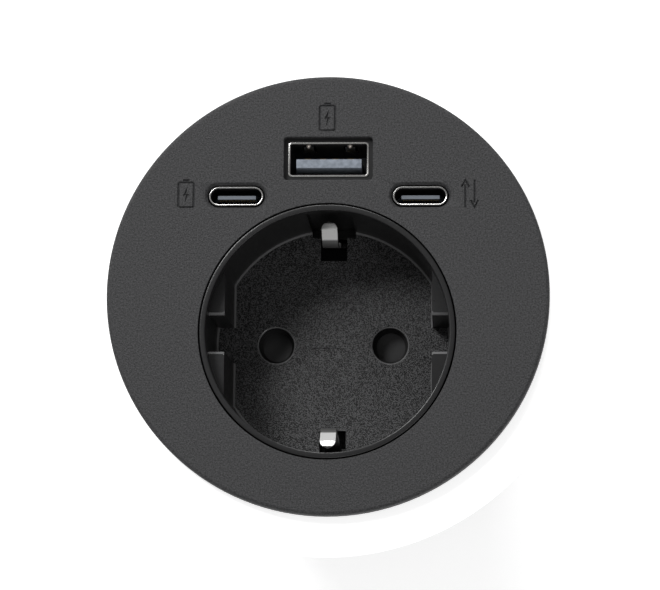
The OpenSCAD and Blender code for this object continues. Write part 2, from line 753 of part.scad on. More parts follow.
module contact_base() {
    color([0.85, 0.85, 0.82]) at_socket() difference() {
        union() {
            translate([0, 0, block_z]) cylinder(r = block_r, h = block_h);
            ring(block_r, rim_r, shutter_room, block_top_z);
            translate([0, 0, block_top_z - eps]) cylinder(d = pivot_d, h = shutter_room - 0.1 + eps);
            // Stops for the shutter, shut and open
            for (turn = [0, 180], angle = [-pad_angle / 2 - stop_angle, pad_angle / 2 + shutter_open + stop_angle])
                polar(pad_r - 1, turn + angle) translate([0, 0, block_top_z - eps])
                    cylinder(r = stop_r, h = shutter_room - 0.1 + eps);
            // Post that the spring's outer leg rests on
            polar(post_at, post_angle) translate([0, 0, block_top_z - eps])
                cylinder(r = spring_post_r, h = shutter_room - 0.1 + eps);
        }
        // Cut-outs in the rim for the bosses of the insert
        for (angle = block_screw_angles) polar(block_screw_ring, angle) {
            translate([0, 0, block_top_z - 0.3]) cylinder(r = boss_r + 0.2, h = shutter_room + 1);
            translate([0, 0, block_z - 1]) cylinder(r = screw_r + 0.2, h = block_h + 2);
            translate([0, 0, block_z - 1]) cylinder(r = head_r + 0.3, h = screw_head_h + 0.2 + 1);
        }
        // Pockets for the two contacts, with a chase down to each terminal
        for (turn = [0, 180]) rotate([0, 0, turn]) {
            translate([pin_x, 0, block_z - 1]) cylinder(r = pocket_r, h = block_h + 1 - 0.8);
            translate([pin_x, 0, block_top_z - 1]) cylinder(d = pin_hole_d, h = 2);
            translate([terminal_x, terminal_y, 0])
                block([terminal_w + 0.6, terminal_w + 0.6, terminal_h + 1], block_z - 0.7);
            translate([chase_x, terminal_y / 2, 0])
                block([tail_w + 0.6, terminal_y + 2, sleeve_foot_z - block_z + 0.7 + 1.4], block_z - 0.7);
            // Way in for the wire
            translate([terminal_x - wire_way / 2, terminal_y, block_z + 1.3])
                cube([wire_way, block_r, wire_way]);
            // Groove for the earth strip, with room for its bend and its slope
            translate([-strip_w / 2 - 0.3, strip_v - bend_r - 0.4, block_z - 1])
                cube([strip_w + 0.6, bend_r + 0.8, bend_r + 1.2]);
            translate([-strip_w / 2 - 0.3, strip_v - 0.15, block_z - 1])
                cube([strip_w + 0.6, block_r - strip_v + 1, block_h + 1.5]);
            translate([-strip_w / 2 - 0.5, rim_r - 1, block_top_z - 0.3])
                cube([strip_w + 1, block_r - rim_r + 2, shutter_room + 1]);
        }
    }
}

// A slit sleeve on a tail that runs down to a square terminal with a cross hole for the wire
module contact() {
    difference() {
        union() {
            translate([pin_x, 0, sleeve_foot_z]) cylinder(r = sleeve_r, h = sleeve_len);
            translate([chase_x, terminal_y / 2, 0]) block([tail_w, terminal_y, tail_t], sleeve_foot_z);
            translate([terminal_x, terminal_y, 0]) block([terminal_w, terminal_w, terminal_h], block_z);
        }
        translate([pin_x, 0, sleeve_foot_z + tail_t]) cylinder(d = sleeve_id, h = sleeve_len);
        translate([pin_x, 0, 0]) block([slit_w, 2 * sleeve_r + 1, sleeve_len], sleeve_foot_z + tail_t + 2);
        translate([terminal_x, terminal_y + terminal_w, block_z + 3]) rotate([90, 0, 0])
            cylinder(d = wire_hole_d, h = 2 * terminal_w);
        translate([terminal_x, terminal_y, block_z - 1]) cylinder(d = terminal_screw_d + fit, h = 3.2);
    }
}

module block_screws() {
    sunk = screw_head_h + 0.2;
    color([0.6, 0.6, 0.62]) at_socket() for (angle = block_screw_angles) polar(block_screw_ring, angle)
        translate([0, 0, block_z + sunk]) rotate([180, 0, 0])
            screw(screw_d, screw_head_d, screw_head_h, block_h - sunk + shutter_room + 0.6);
}

module live_contact() {
    color([0.8, 0.65, 0.3]) at_socket() rotate([0, 0, 180]) contact();
}

module neutral_contact() {
    color([0.8, 0.65, 0.3]) at_socket() contact();
}

module terminal_screws() {
    color([0.7, 0.7, 0.72]) at_socket() for (side = sides)
        translate([side * terminal_x, side * terminal_y, block_z - screw_head_h * 0.5])
            rotate([180, 0, 0]) screw(terminal_screw_d, screw_head_d, screw_head_h, 2.6);
}

// The inner face of one side of the earth bracket, from under the block to the clip's tip
clip_path = concat(
    [[0, block_z]],
    arc(strip_v - bend_r, block_z + bend_r, bend_r, -90, 0, 6),
    [[strip_v, block_top_z + 0.8], [strip_v - 0.3, block_top_z + 1.8],
        [clip_apex_v + 0.7, clip_apex_z - clip_foot]],
    arc(clip_apex_v + curl_r, clip_apex_z, curl_r, curl_from, curl_to, 8),
    [[clip_tip_v - 1.3, clip_tip_z - 0.5], [clip_tip_v - 0.4, clip_tip_z]]);

module earth_bracket() {
    color([0.8, 0.8, 0.78]) at_socket() for (side = sides) flip(side) intersection() {
        translate([-clip_slot_w / 2, 0, 0]) rotate([90, 0, 90]) linear_extrude(clip_slot_w)
            polygon(concat([[-eps, block_z]], ribbon(clip_path, -strip_t), [[-eps, block_z - strip_t]]));
        union() {
            translate([-strip_w / 2, -1, block_z - 2])
                cube([strip_w, strip_v + strip_t + 2, under_z - 0.6 - block_z + 2]);
            translate([-clip_w / 2, clip_apex_v - 1, under_z - 2])
                cube([clip_w, well_r - clip_apex_v + 1, clip_apex_z + 1 - under_z + 2]);
            // Rounded tip
            translate([-clip_w / 2, clip_apex_v - 1, clip_apex_z])
                cube([clip_w, clip_tip_v - clip_w / 2 - clip_apex_v + 1, clip_apex_depth]);
            translate([0, clip_tip_v - clip_w / 2, clip_apex_z]) cylinder(d = clip_w, h = clip_apex_depth);
        }
    }
}

// Shutter

// One pad: a sector whose top slopes down towards its trailing edge
module pad() {
    half = pad_r * sin(pad_angle / 2);
    intersection() {
        rotate([0, 0, -pad_angle / 2]) rotate_extrude(angle = pad_angle)
            translate([pad_in_r, shutter_z]) square([pad_r - pad_in_r, shutter_top_z - shutter_z]);
        translate([pad_in_r - 1, 0, 0]) rotate([90, 0, 90]) linear_extrude(pad_r - pad_in_r + 2)
            polygon([[-half - 1, shutter_z], [half + 1, shutter_z], [half + 1, shutter_top_z],
                [half * 0.7, shutter_top_z], [-half * 0.85, shutter_z + plate_t],
                [-half - 1, shutter_z + plate_t]]);
    }
}

module shutter() {
    color([0.2, 0.2, 0.2]) at_socket() difference() {
        union() {
            translate([0, 0, shutter_z]) cylinder(r = plate_r, h = plate_t);
            translate([0, 0, shutter_z]) cylinder(r = hub_r, h = shutter_top_z - shutter_z);
            for (turn = [0, 180]) rotate([0, 0, turn]) {
                translate([pad_in_r, 0, 0]) block([3, 5, plate_t], shutter_z);
                pad();
            }
            // Peg that the spring pushes
            polar(spring_r + 1.2, peg_angle) translate([0, 0, shutter_z])
                cylinder(r = peg_r, h = shutter_top_z - shutter_z);
        }
        translate([0, 0, shutter_z - 1]) cylinder(r = pivot_d / 2 + pivot_gap, h = shutter_room + 2);
    }
}

// The spring's line: a helix round the hub with a straight leg at each end
spring_line = concat(
    [spring_point(0) + leg_in * [sin(spring_at(0)), -cos(spring_at(0)), 0]],
    [for (i = [0 : leg_steps]) spring_point(i)],
    [spring_point(leg_steps) + leg_out * [-sin(spring_at(leg_steps)), cos(spring_at(leg_steps)), 0]]);

function spring_at(i) = spring_start + 360 * i / spring_steps;
function spring_point(i) = [spring_r * cos(spring_at(i)), spring_r * sin(spring_at(i)),
    spring_z + spring_pitch * i / spring_steps];

// A round wire swept along a line of points that stays near one plane
module wire(line, r, n) {
    last = len(line) - 1;
    points = [for (i = [0 : last]) let (
            ahead = unit(line[min(i + 1, last)] - line[max(i - 1, 0)]),
            out = unit(cross(ahead, [0, 0, 1])),
            up = cross(out, ahead))
        for (k = [0 : n - 1]) line[i] + r * (cos(360 * k / n) * out + sin(360 * k / n) * up)];
    walls = [for (i = [0 : last - 1], k = [0 : n - 1])
        [i * n + k, i * n + (k + 1) % n, (i + 1) * n + (k + 1) % n, (i + 1) * n + k]];
    polyhedron(points, concat(walls, [[for (k = [n - 1 : -1 : 0]) k]], [[for (k = [0 : n - 1]) last * n + k]]));
}

module shutter_spring() {
    color([0.75, 0.75, 0.77]) at_socket() wire(spring_line, spring_wire / 2, spring_sides);
}

// Ports

module usb_a_shell() {
    inner_w = usb_a_w - 2 * shell_t;
    inner_h = usb_a_h - 2 * shell_t;
    color([0.78, 0.78, 0.78]) translate([0, usb_a_y, 0]) {
        difference() {
            translate([0, 0, board_top_z]) linear_extrude(usb_a_z - board_top_z) difference() {
                round_rect(usb_a_w, usb_a_h, 0.6);
                round_rect(inner_w, inner_h, 0.35);
            }
            for (x = sides) translate([x * finger_x, 0, 0]) block([finger_w + 0.6, usb_a_h + 2, 5.6], usb_a_z - 7.4);
        }
        // Spring fingers in the two long walls, each bent inwards near its tip
        for (x = sides, side = sides) flip(side)
            translate([x * finger_x - finger_w / 2, 0, 0]) rotate([90, 0, 90]) linear_extrude(finger_w)
                polygon(ribbon([[inner_h / 2 + shell_t, usb_a_z - 7.6], [inner_h / 2 + shell_t - 0.1, usb_a_z - 6.6],
                    [inner_h / 2 - 0.25, usb_a_z - 3.6], [inner_h / 2 - 0.45, usb_a_z - 3.1],
                    [inner_h / 2 - 0.25, usb_a_z - 2.6], [inner_h / 2 + 0.1, usb_a_z - 2.1]], shell_t * 0.8));
    }
}

module usb_a_tongue() {
    color([0.75, 0.8, 0.85]) {
        translate([0, usb_a_y, 0])
            block([usb_a_w - 2 * shell_t - 0.2, usb_a_h - 2 * shell_t - 0.2, tongue_a_foot], board_top_z);
        translate([0, tongue_a_y, 0])
            block([tongue_a_w, tongue_a_h, usb_a_z - tongue_a_sunk - board_top_z], board_top_z);
    }
}

module usb_a_contacts() {
    color([0.85, 0.7, 0.35]) for (x = [-3.5, -1, 1, 3.5])
        translate([x, tongue_a_y + tongue_a_h / 2 + 0.1, 0]) block([1, 0.2, contact_a_len], usb_a_z - contact_a_len - 1.6);
}

module usb_c_shell(side) {
    color([0.78, 0.78, 0.78]) translate([side * usb_c_x, usb_c_y, usb_c_z - usb_c_len])
        linear_extrude(usb_c_len) difference() {
            stadium(usb_c_w, usb_c_h);
            stadium(usb_c_w - 2 * shell_t, usb_c_h - 2 * shell_t);
        }
}

module usb_c_tongue(side) {
    foot_z = usb_c_z - usb_c_len;
    color([0.2, 0.2, 0.22]) translate([side * usb_c_x, usb_c_y, 0]) {
        translate([0, 0, board_top_z]) linear_extrude(foot_z - board_top_z) stadium(usb_c_w - 0.2, usb_c_h - 0.2);
        translate([0, 0, foot_z - eps]) linear_extrude(4.2 + eps)
            stadium(usb_c_w - 2 * shell_t - 0.1, usb_c_h - 2 * shell_t - 0.1);
        block([tongue_c_w, tongue_c_h, usb_c_len - 1.2], foot_z);
    }
}

module usb_c_contacts(side) {
    color([0.85, 0.7, 0.35]) translate([side * usb_c_x, usb_c_y, 0])
        for (i = [0 : 11], face = sides) translate([(i - 5.5) * 0.5, face * (tongue_c_h / 2 + 0.04), 0])
            block([0.25, 0.08, 4.4], usb_c_z - 6.4);
}

module usb_c_left_shell() { usb_c_shell(-1); }
module usb_c_right_shell() { usb_c_shell(1); }
module usb_c_left_tongue() { usb_c_tongue(-1); }
module usb_c_right_tongue() { usb_c_tongue(1); }
module usb_c_left_contacts() { usb_c_contacts(-1); }
module usb_c_right_contacts() { usb_c_contacts(1); }

module port_board() {
    color([0.1, 0.35, 0.2]) difference() {
        translate([0, 0, board_z]) cylinder(r = inner_r - 0.3, h = board_t);
        at_socket() translate([0, 0, board_z - 1]) cylinder(r = collar_r + 0.3, h = board_t + 2);
        translate([-barrel_r, port_edge_y - barrel_d, board_z - 1]) cube([barrel_d, barrel_d, board_t + 2]);
        for (angle = [60, 120]) polar(column_ring, angle)
            translate([0, 0, board_z - 1]) cylinder(r = screw_r + 0.2, h = board_t + 2);
    }
}

module port_screws() {
    color([0.6, 0.6, 0.62]) for (angle = [60, 120]) polar(column_ring, angle) translate([0, 0, board_top_z])
        screw(screw_d, screw_head_d, screw_head_h, board_t + screw_bite);
}

module riser_board() {
    color([0.1, 0.35, 0.2]) translate([0, riser_y, 0])
        block([riser_w, riser_t, board_z - power_top_z], power_top_z);
}

// Power supply

module power_board() {
    color([0.1, 0.35, 0.2]) difference() {
        translate([0, 0, power_z]) cylinder(r = inner_r - 0.3, h = board_t);
        translate([-barrel_r, power_edge_y - barrel_d, power_z - 1]) cube([barrel_d, barrel_d, board_t + 2]);
        for (angle = [60, 120]) polar(column_ring, angle)
            translate([0, 0, power_z - 1]) cylinder(r = column_r + 0.3, h = board_t + 2);
    }
}

module transformer_core() {
    window_w = (core_w - core_mid) / 2 - core_leg;
    color([0.25, 0.25, 0.27]) translate([core_at[0], core_at[1], 0]) difference() {
        block([core_w, core_d, core_h], power_top_z);
        for (side = sides) translate([side * (core_mid + window_w) / 2, 0, 0])
            block([window_w, core_d + 2, core_h - 2 * core_leg], power_top_z + core_leg);
    }
}

module transformer_winding() {
    color([0.85, 0.7, 0.2]) translate([core_at[0], core_at[1], 0]) difference() {
        translate([0, 0, power_top_z + core_leg + fit])
            cylinder(r = winding_r, h = core_h - 2 * core_leg - 2 * fit);
        block([core_mid + 2 * fit, core_d + 2 * fit, core_h], power_top_z);
    }
}

// A can capacitor with a rolled groove near its foot and a vent cross on its top
module capacitor(d, h) {
    difference() {
        translate([0, 0, power_top_z]) rotate_extrude() {
            square([d / 2 - 0.5, h]);
            square([d / 2, 1.2]);
            square([d / 2 - 0.35, 2.2]);
            translate([0, 2.2]) square([d / 2, h - 2.7]);
            translate([d / 2 - 0.5, h - 0.5]) circle(r = 0.5);
        }
        for (turn = [0, 90]) rotate([0, 0, turn]) block([d * 0.6, 0.3, 1], power_top_z + h - 0.2);
    }
}

module bulk_capacitor() {
    color([0.15, 0.2, 0.35]) translate([bulk_at[0], bulk_at[1], 0]) capacitor(bulk_d, bulk_h);
}

module output_capacitors() {
    color([0.15, 0.2, 0.35]) for (p = output_at) translate([p[0], p[1], 0]) capacitor(output_d, output_h);
}

module choke() {
    color([0.3, 0.3, 0.32]) translate([choke_at[0], choke_at[1], power_top_z]) rotate_extrude() {
        square([choke_d / 2, 1]);
        square([choke_d / 2 - 0.9, choke_h]);
        translate([0, choke_h - 1]) square([choke_d / 2, 1]);
    }
}

module fuse() {
    axis_z = power_top_z + fuse_d / 2 + 0.1;
    color([0.5, 0.35, 0.25]) translate([fuse_at[0], fuse_at[1], axis_z]) rotate([0, 90, 0]) {
        cylinder(d = fuse_d, h = fuse_len, center = true);
        for (side = sides) translate([0, 0, side * (fuse_len / 2 + 0.4)])
            cylinder(d = 0.8, h = 1.6, center = true);
        for (side = sides) translate([fuse_d / 4 - 0.15, 0, side * (fuse_len / 2 + 1.2)])
            block([fuse_d / 2 + 0.5, 0.8, 0.8], -0.4);
    }
}

module rectifier() {
    color([0.12, 0.12, 0.12]) translate([rectifier_at[0], rectifier_at[1], 0]) {
        block([rectifier_w, 5, 2.4], power_top_z + 0.3);
        for (x = sides, y = sides) translate([x * 2.5, y * 2.9, 0]) block([1.2, 1.4, 0.5], power_top_z);
        for (x = sides, y = sides) translate([x * 2.5, y * 2.3, 0]) block([1.2, 0.4, 0.6], power_top_z);
    }
}

module controller_chip() {
    color([0.12, 0.12, 0.12]) translate([chip_at[0], chip_at[1], 0]) {
        block([chip_w, 4, 1.5], power_z - 1.65);
        for (i = [0 : 3], y = sides) translate([(i - 1.5) * chip_w / 4, y * 2.5, 0])
            block([0.4, 1.2, 0.3], power_z - 0.3);
    }
}

face_cover();
housing_barrel();
base_cap();
base_screws();
mains_grommet();
data_grommet();
clamp_washer();
clamp_nut();
socket_insert();
insert_screws();
contact_base();
block_screws();
live_contact();
neutral_contact();
terminal_screws();
earth_bracket();
shutter();
shutter_spring();
usb_a_shell();
usb_a_tongue();
usb_a_contacts();
usb_c_left_shell();
usb_c_left_tongue();
usb_c_left_contacts();
usb_c_right_shell();
usb_c_right_tongue();
usb_c_right_contacts();
port_board();
port_screws();
riser_board();
power_board();
transformer_core();
transformer_winding();
bulk_capacitor();
output_capacitors();
choke();
fuse();
rectifier();
controller_chip();
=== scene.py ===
import json
import math

import bmesh
import bpy
from mathutils import Matrix, Vector
from mathutils.geometry import delaunay_2d_cdt


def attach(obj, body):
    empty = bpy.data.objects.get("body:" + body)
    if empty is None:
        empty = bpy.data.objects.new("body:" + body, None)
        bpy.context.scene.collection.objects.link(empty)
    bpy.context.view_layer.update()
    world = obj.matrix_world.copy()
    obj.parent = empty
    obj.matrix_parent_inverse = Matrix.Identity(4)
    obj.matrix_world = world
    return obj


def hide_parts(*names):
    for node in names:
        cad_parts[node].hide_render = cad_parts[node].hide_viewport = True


mm = 0.001
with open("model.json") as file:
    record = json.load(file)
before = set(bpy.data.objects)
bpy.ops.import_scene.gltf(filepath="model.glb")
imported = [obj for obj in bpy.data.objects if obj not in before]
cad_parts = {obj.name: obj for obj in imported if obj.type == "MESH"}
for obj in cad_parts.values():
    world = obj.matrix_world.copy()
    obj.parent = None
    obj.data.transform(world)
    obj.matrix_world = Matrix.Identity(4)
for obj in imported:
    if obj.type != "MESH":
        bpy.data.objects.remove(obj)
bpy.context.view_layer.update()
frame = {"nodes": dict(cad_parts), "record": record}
nodes = frame["nodes"]
print("frame loaded:", len(nodes), "CAD nodes")


# Materials

class Term:  # a socket in a material, used in sums
    def __init__(self, paint, socket):
        self.paint = paint
        self.socket = socket

    def sum(self, how, other, turned=False):
        pair = (other, self) if turned else (self, other)
        return self.paint.add("ShaderNodeMath", {"operation": how}, {0: pair[0], 1: pair[1]})

    def __add__(self, other):
        return self.sum("ADD", other)

    def __radd__(self, other):
        return self.sum("ADD", other, True)

    def __sub__(self, other):
        return self.sum("SUBTRACT", other)

    def __rsub__(self, other):
        return self.sum("SUBTRACT", other, True)

    def __mul__(self, other):
        return self.sum("MULTIPLY", other)

    def __rmul__(self, other):
        return self.sum("MULTIPLY", other, True)

    def __gt__(self, other):
        return self.sum("GREATER_THAN", other)

    def __abs__(self):
        return self.sum("ABSOLUTE", 0.0)


class Paint:  # one material round a Principled shader
    def __init__(self, name, colour, roughness=0.5, metallic=0.0, **fixed):
        self.material = bpy.data.materials.new(name)
        self.material.use_nodes = True
        self.tree = self.material.node_tree
        self.shader = self.tree.nodes["Principled BSDF"]
        self.shader.inputs["Base Color"].default_value = (*colour, 1.0)
        self.shader.inputs["Roughness"].default_value = roughness
        self.shader.inputs["Metallic"].default_value = metallic
        for socket, value in fixed.items():
            self.shader.inputs[socket.replace("_", " ")].default_value = value

    def add(self, kind, settings=None, values=None, out=0):  # any node: settings first, then values or links
        node = self.tree.nodes.new(kind)
        for key, value in (settings or {}).items():
            if key == "stops":
                ramp = node.color_ramp.elements
                for i, (at, shade) in enumerate(value):
                    stop = ramp[i] if i < 2 else ramp.new(at)
                    stop.position = at
                    stop.color = (shade, shade, shade, 1)
            else:
                setattr(node, key, value)
        for socket, value in (values or {}).items():
            if isinstance(value, Term):
                self.tree.links.new(value.socket, node.inputs[socket])
            else:
                node.inputs[socket].default_value = value
        return Term(self, node.outputs[out])

    def place(self):  # where a point is on the object, in metres
        return self.add("ShaderNodeTexCoord", out="Object")

    def axis(self, name):
        return self.add("ShaderNodeSeparateXYZ", None, {0: self.place()}, "XYZ".index(name))

    def noise(self, size, detail=2.0, stretch=(1, 1, 1)):  # size of a grain in mm
        at = self.add("ShaderNodeMapping", None, {"Vector": self.place(), "Scale": stretch})
        return self.add("ShaderNodeTexNoise", None,
                        {"Vector": at, "Scale": 1 / (size * mm), "Detail": detail, "Roughness": 0.55})

    def ramp(self, value, stops):
        return self.add("ShaderNodeValToRGB", {"stops": stops}, {0: value})

    def blend(self, mask, first, second):
        return self.add("ShaderNodeMix", {"data_type": "RGBA"},
                        {0: mask, 6: (*first, 1.0), 7: (*second, 1.0)}, 2)

    def show(self, socket, value):
        self.tree.links.new(value.socket, self.shader.inputs[socket])

    def emboss(self, height, depth):  # depth in mm
        self.show("Normal", self.add("ShaderNodeBump", None,
                                     {"Strength": 1.0, "Distance": depth * mm, "Height": height}))


def grained(name, colour, roughness, size, depth, uneven=0.06, mottle=0.0, **fixed):
    paint = Paint(name, colour, roughness, **fixed)
    grain = paint.noise(size, 3.0)
    paint.emboss(grain, depth)
    paint.show("Roughness", grain * (2 * uneven) + (roughness - uneven))
    if mottle:
        spots = paint.ramp(paint.noise(size * 1.3, 1.0), [(0.3, 0.0), (0.7, 1.0)])
        low, high = [tuple(c * (1 + mottle * sign) for c in colour) for sign in (-1, 1)]
        paint.show("Base Color", paint.blend(spots, low, high))
    return paint.material


def metal(name, colour, roughness, brushed=(1, 1, 8), depth=0.002):
    paint = Paint(name, colour, roughness, 1.0)
    streaks = paint.noise(0.12, 2.0, brushed)
    paint.emboss(streaks, depth)
    paint.show("Roughness", streaks * 0.16 + (roughness - 0.08))
    return paint.material


def boardPaint(name):
    paint = Paint(name, (0.016, 0.09, 0.04), 0.32, Coat_Weight=0.4)
    weave = paint.noise(0.5, 1.0, (1, 1, 0.2))
    tracks = paint.ramp(paint.noise(2.6, 0.0), [(0.49, 0.0), (0.5, 1.0), (0.56, 1.0), (0.57, 0.0)])
    paint.show("Base Color", paint.blend(tracks, (0.014, 0.08, 0.034), (0.03, 0.15, 0.07)))
    paint.emboss(tracks * 0.8 + weave * 0.3, 0.03)
    return paint.material


sandy = {"colour": (0.02, 0.02, 0.0205), "grain": 0.17, "depth": 0.1, "dull": 0.25, "bright": 4.4, "gloss": 0.25}


def sandPaint(name):
    paint = Paint(name, sandy["colour"], 0.4, Specular_IOR_Level=sandy["gloss"])
    sand = paint.noise(sandy["grain"], 1.0)
    grit = paint.ramp(sand, [(0.43, 0.0), (0.6, 1.0)])
    low, high = [tuple(c * sandy[share] for c in sandy["colour"]) for share in ("dull", "bright")]
    paint.show("Base Color", paint.blend(grit, low, high))
    paint.emboss(sand, sandy["depth"])
    paint.show("Roughness", sand * 0.2 + 0.3)
    return paint.material


# the clips' plating colour, and the painted shade colour with the heights over which it fades out down in their
# slots
clips = {"colour": (0.93, 0.93, 0.92), "shade": (0.02, 0.02, 0.02), "wellY": -6.05, "inner": 14.9, "length": 4.0,
         "darkZ": -13.3333, "lightZ": -10.0}


def clipShadePaint(name):  # painted shade: darker where the clips bend, near the top clip's tip and deep in their slots; their own bright plating on the slopes
    paint = Paint(name, clips["colour"], 0.36, 0.5)
    y, z = paint.axis("Y"), paint.axis("Z")
    along = (abs(y - clips["wellY"] * mm) - clips["inner"] * mm) * (1 / (clips["length"] * mm))
    # painted shade where the clips bend, and near the top clip's tip
    bendShade = paint.ramp(along, [(0.0, 0.1), (0.22, 0.16), (0.28, 1.0), (1.0, 1.0)])
    tip = paint.ramp(along, [(0.6, 1.0), (0.66, 0.3), (0.84, 0.24), (0.93, 1.0)])
    # painted shade that deepens down into the slots, then the mix from the shade colour to the plating colour
    up = (z - clips["darkZ"] * mm) * (1 / ((clips["lightZ"] - clips["darkZ"]) * mm))
    shade = bendShade * (1.0 - (y > 0.0) * (1.0 - tip)) * paint.ramp(up, [(0.0, 0.03), (1.0, 1.0)])
    paint.show("Base Color", paint.blend(shade, clips["shade"], clips["colour"]))
    paint.emboss(paint.noise(0.12, 2.0, (8, 1, 1)), 0.002)
    return paint.material


finishes = {
    "cover_plastic": grained("coverPlastic", (0.04, 0.04, 0.0415), 0.6, 0.2, 0.12, mottle=0.47,
                             Specular_IOR_Level=0.3),
    "insert_plastic": grained("insertPlastic", (0.016, 0.016, 0.0165), 0.3, 0.5, 0.012),
    "barrel_plastic": grained("barrelPlastic", (0.035, 0.035, 0.037), 0.5, 0.4, 0.015),
    # painted shade: the contact block and the pin guides are near black all over, so that they read as shade
    # behind the clip slots and pin holes
    "block_plastic": grained("blockPlastic", (0.012, 0.012, 0.012), 0.6, 0.5, 0.01),
    "shutter_plastic": grained("shutterPlastic", (0.045, 0.045, 0.046), 0.45, 0.3, 0.01),
    "rubber": grained("inletRubber", (0.02, 0.02, 0.02), 0.75, 0.3, 0.02),
    "plated_strip": clipShadePaint("platedStrip"),
    "contact_brass": metal("contactBrass", (0.76, 0.56, 0.26), 0.3),
    "port_steel": metal("portSteel", (0.76, 0.75, 0.73), 0.25),
    "tongue_plastic": grained("tonguePlastic", (0.21, 0.235, 0.275), 0.35, 0.6, 0.03, mottle=0.2),
    "dark_tongue_plastic": grained("darkTonguePlastic", (0.18, 0.2, 0.23), 0.35, 0.4, 0.01),
    "gold_contact": metal("goldContact", (0.85, 0.62, 0.28), 0.22),
    "screw_steel": metal("screwSteel", (0.62, 0.62, 0.62), 0.3),
    "spring_steel": metal("springSteel", (0.6, 0.6, 0.61), 0.25),
    "circuit_board": boardPaint("circuitBoard"),
    "ferrite": grained("ferriteGrey", (0.05, 0.05, 0.055), 0.65, 0.6, 0.03),
    "winding_tape": grained("windingTape", (0.72, 0.5, 0.06), 0.3, 2.0, 0.02),
    "can_sleeve": grained("canSleeve", (0.02, 0.035, 0.1), 0.3, 1.5, 0.01),
    "fuse_body": grained("fuseBody", (0.3, 0.16, 0.09), 0.35, 0.8, 0.01),
    "chip_plastic": grained("chipPlastic", (0.03, 0.03, 0.03), 0.55, 0.15, 0.015),
}
sandFloor = sandPaint("sandFloor")
# painted highlight: a much lighter colour than the insert's plastic, with a glossier surface, for the well's
# rounded edges
edgeShine = grained("edgeShine", (0.14, 0.14, 0.142), 0.22, 0.5, 0.004)
portShade = metal("portShade", (0.09, 0.09, 0.09), 0.45)
dimpleSteel = metal("dimpleSteel", (0.95, 0.86, 0.78), 0.5)
print("materials made:", len(bpy.data.materials))


# Meshes

def finishMesh(piece, angle):  # smooth shading that leaves the large flat faces flat
    mesh = piece.data
    mesh.polygons.foreach_set("use_smooth", [True] * len(mesh.polygons))
    mesh.set_sharp_from_angle(angle=math.radians(angle))
    mesh.update()
    piece.modifiers.new("flat", "WEIGHTED_NORMAL").keep_sharp = True
    frozen(piece)


def meshPiece(name, mesh, materials, body):
    piece = bpy.data.objects.new(name, mesh)
    bpy.context.scene.collection.objects.link(piece)
    for material in materials:
        mesh.materials.append(material)
    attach(piece, body)
    return piece


def plainMesh(name, points, faces):  # points in mm
    mesh = bpy.data.meshes.new(name)
    mesh.from_pydata([tuple(c * mm for c in p) for p in points], [], faces)
    return mesh


def frozen(piece):  # the piece with its modifiers applied, as a plain mesh
    live = piece.evaluated_get(bpy.context.evaluated_depsgraph_get())
    mesh = bpy.data.meshes.new_from_object(live)
    piece.modifiers.clear()
    old = piece.data
    piece.data = mesh
    bpy.data.meshes.remove(old)


def cleanCopy(node, keep=None):  # a CAD node's triangles, merged into faces
    shape = bmesh.new()
    shape.from_mesh(nodes[node].data)
    bmesh.ops.remove_doubles(shape, verts=shape.verts, dist=0.003 * mm)
    if keep:
        loose = [f for f in shape.faces if not keep(f)]
        bmesh.ops.delete(shape, geom=loose, context="FACES")
    shape.verts.index_update()
    mesh = plainMesh(node, [v.co / mm for v in shape.verts], [[v.index for v in f.verts] for f in shape.faces])
    shape.free()
    return mesh


slotOf = {row["node"]: row["material_slot"] for row in frame["record"]["subparts"]}
bodyOf = {node: body for body, members in frame["record"]["behaviour"]["bodies"].items() for node in members}


def softened(node, width, segments=2, angle=32, change=None, marked=False):  # marked: only edges with a weight
    mesh = cleanCopy(node)
    if change:
        change(mesh)
    piece = meshPiece(node + "_soft", mesh, [finishes[slotOf[node]]], bodyOf[node])
    if width:
        edge = piece.modifiers.new("edge", "BEVEL")
        edge.width = width * mm
        edge.segments = segments
        edge.use_clamp_overlap = not marked
        edge.limit_method = "WEIGHT" if marked else "ANGLE"
        edge.angle_limit = math.radians(angle)
        frozen(piece)
    finishMesh(piece, 38)
    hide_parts(node)
    return piece


# Cover: flat top with grooved icons, rounded rim and edged openings

cover = {
    "radius": 36.0, "top": 2.6, "rimRound": 0.7, "rimPoints": 288, "footEdge": 0.15, "under": 1.0,
    "well": (0.0, -6.05, 20.97), "wellEdge": 0.07,
    "largePort": (0.0, 22.3, 14.45, 7.05, 0.5), "largeEdge": 0.2,
    "smallPorts": [(-15.01, 16.09), (15.01, 16.09)], "smallWide": 9.34, "smallHigh": 3.6, "smallBevel": 0.45,
    "grooveWide": 0.42, "grooveDeep": 0.28, "batteries": [(-0.2, 29.0), (-23.2, 16.3)], "arrows": (23.1, 16.4),
}


def circleLoop(x, y, r, count=192):
    return [(x + r * math.cos(2 * math.pi * i / count), y + r * math.sin(2 * math.pi * i / count))
            for i in range(count)]


def cornerLoop(x, y, wide, high, r, grow=0.0, steps=10):  # a rectangle with round corners, grown by a margin
    points = []
    for cx, cy, start in ((1, 1, 0), (-1, 1, 90), (-1, -1, 180), (1, -1, 270)):
        for i in range(steps + 1):
            a = math.radians(start + 90 * i / steps)
            points.append((x + cx * (wide / 2 - r) + (r + grow) * math.cos(a),
                           y + cy * (high / 2 - r) + (r + grow) * math.sin(a)))
    return points


def strokeSides(line, wide, closed):
    path = [Vector(p) for p in line]
    if not closed:
        path[0] = path[0] + (path[0] - path[1]).normalized() * (wide / 2)
        path[-1] = path[-1] + (path[-1] - path[-2]).normalized() * (wide / 2)
    count = len(path)
    sides = ([], [])
    for i, p in enumerate(path):
        before = path[i - 1] if closed or i else p
        after = path[(i + 1) % count] if closed or i < count - 1 else p
        ahead = (after - p).normalized() if (after - p).length else (p - before).normalized()
        behind = (p - before).normalized() if (p - before).length else ahead
        mean = (ahead + behind).normalized()
        out = Vector((-mean.y, mean.x)) * (wide / 2 / max(0.5, mean.dot(ahead)))
        sides[0].append(p + out)
        sides[1].append(p - out)
    return sides


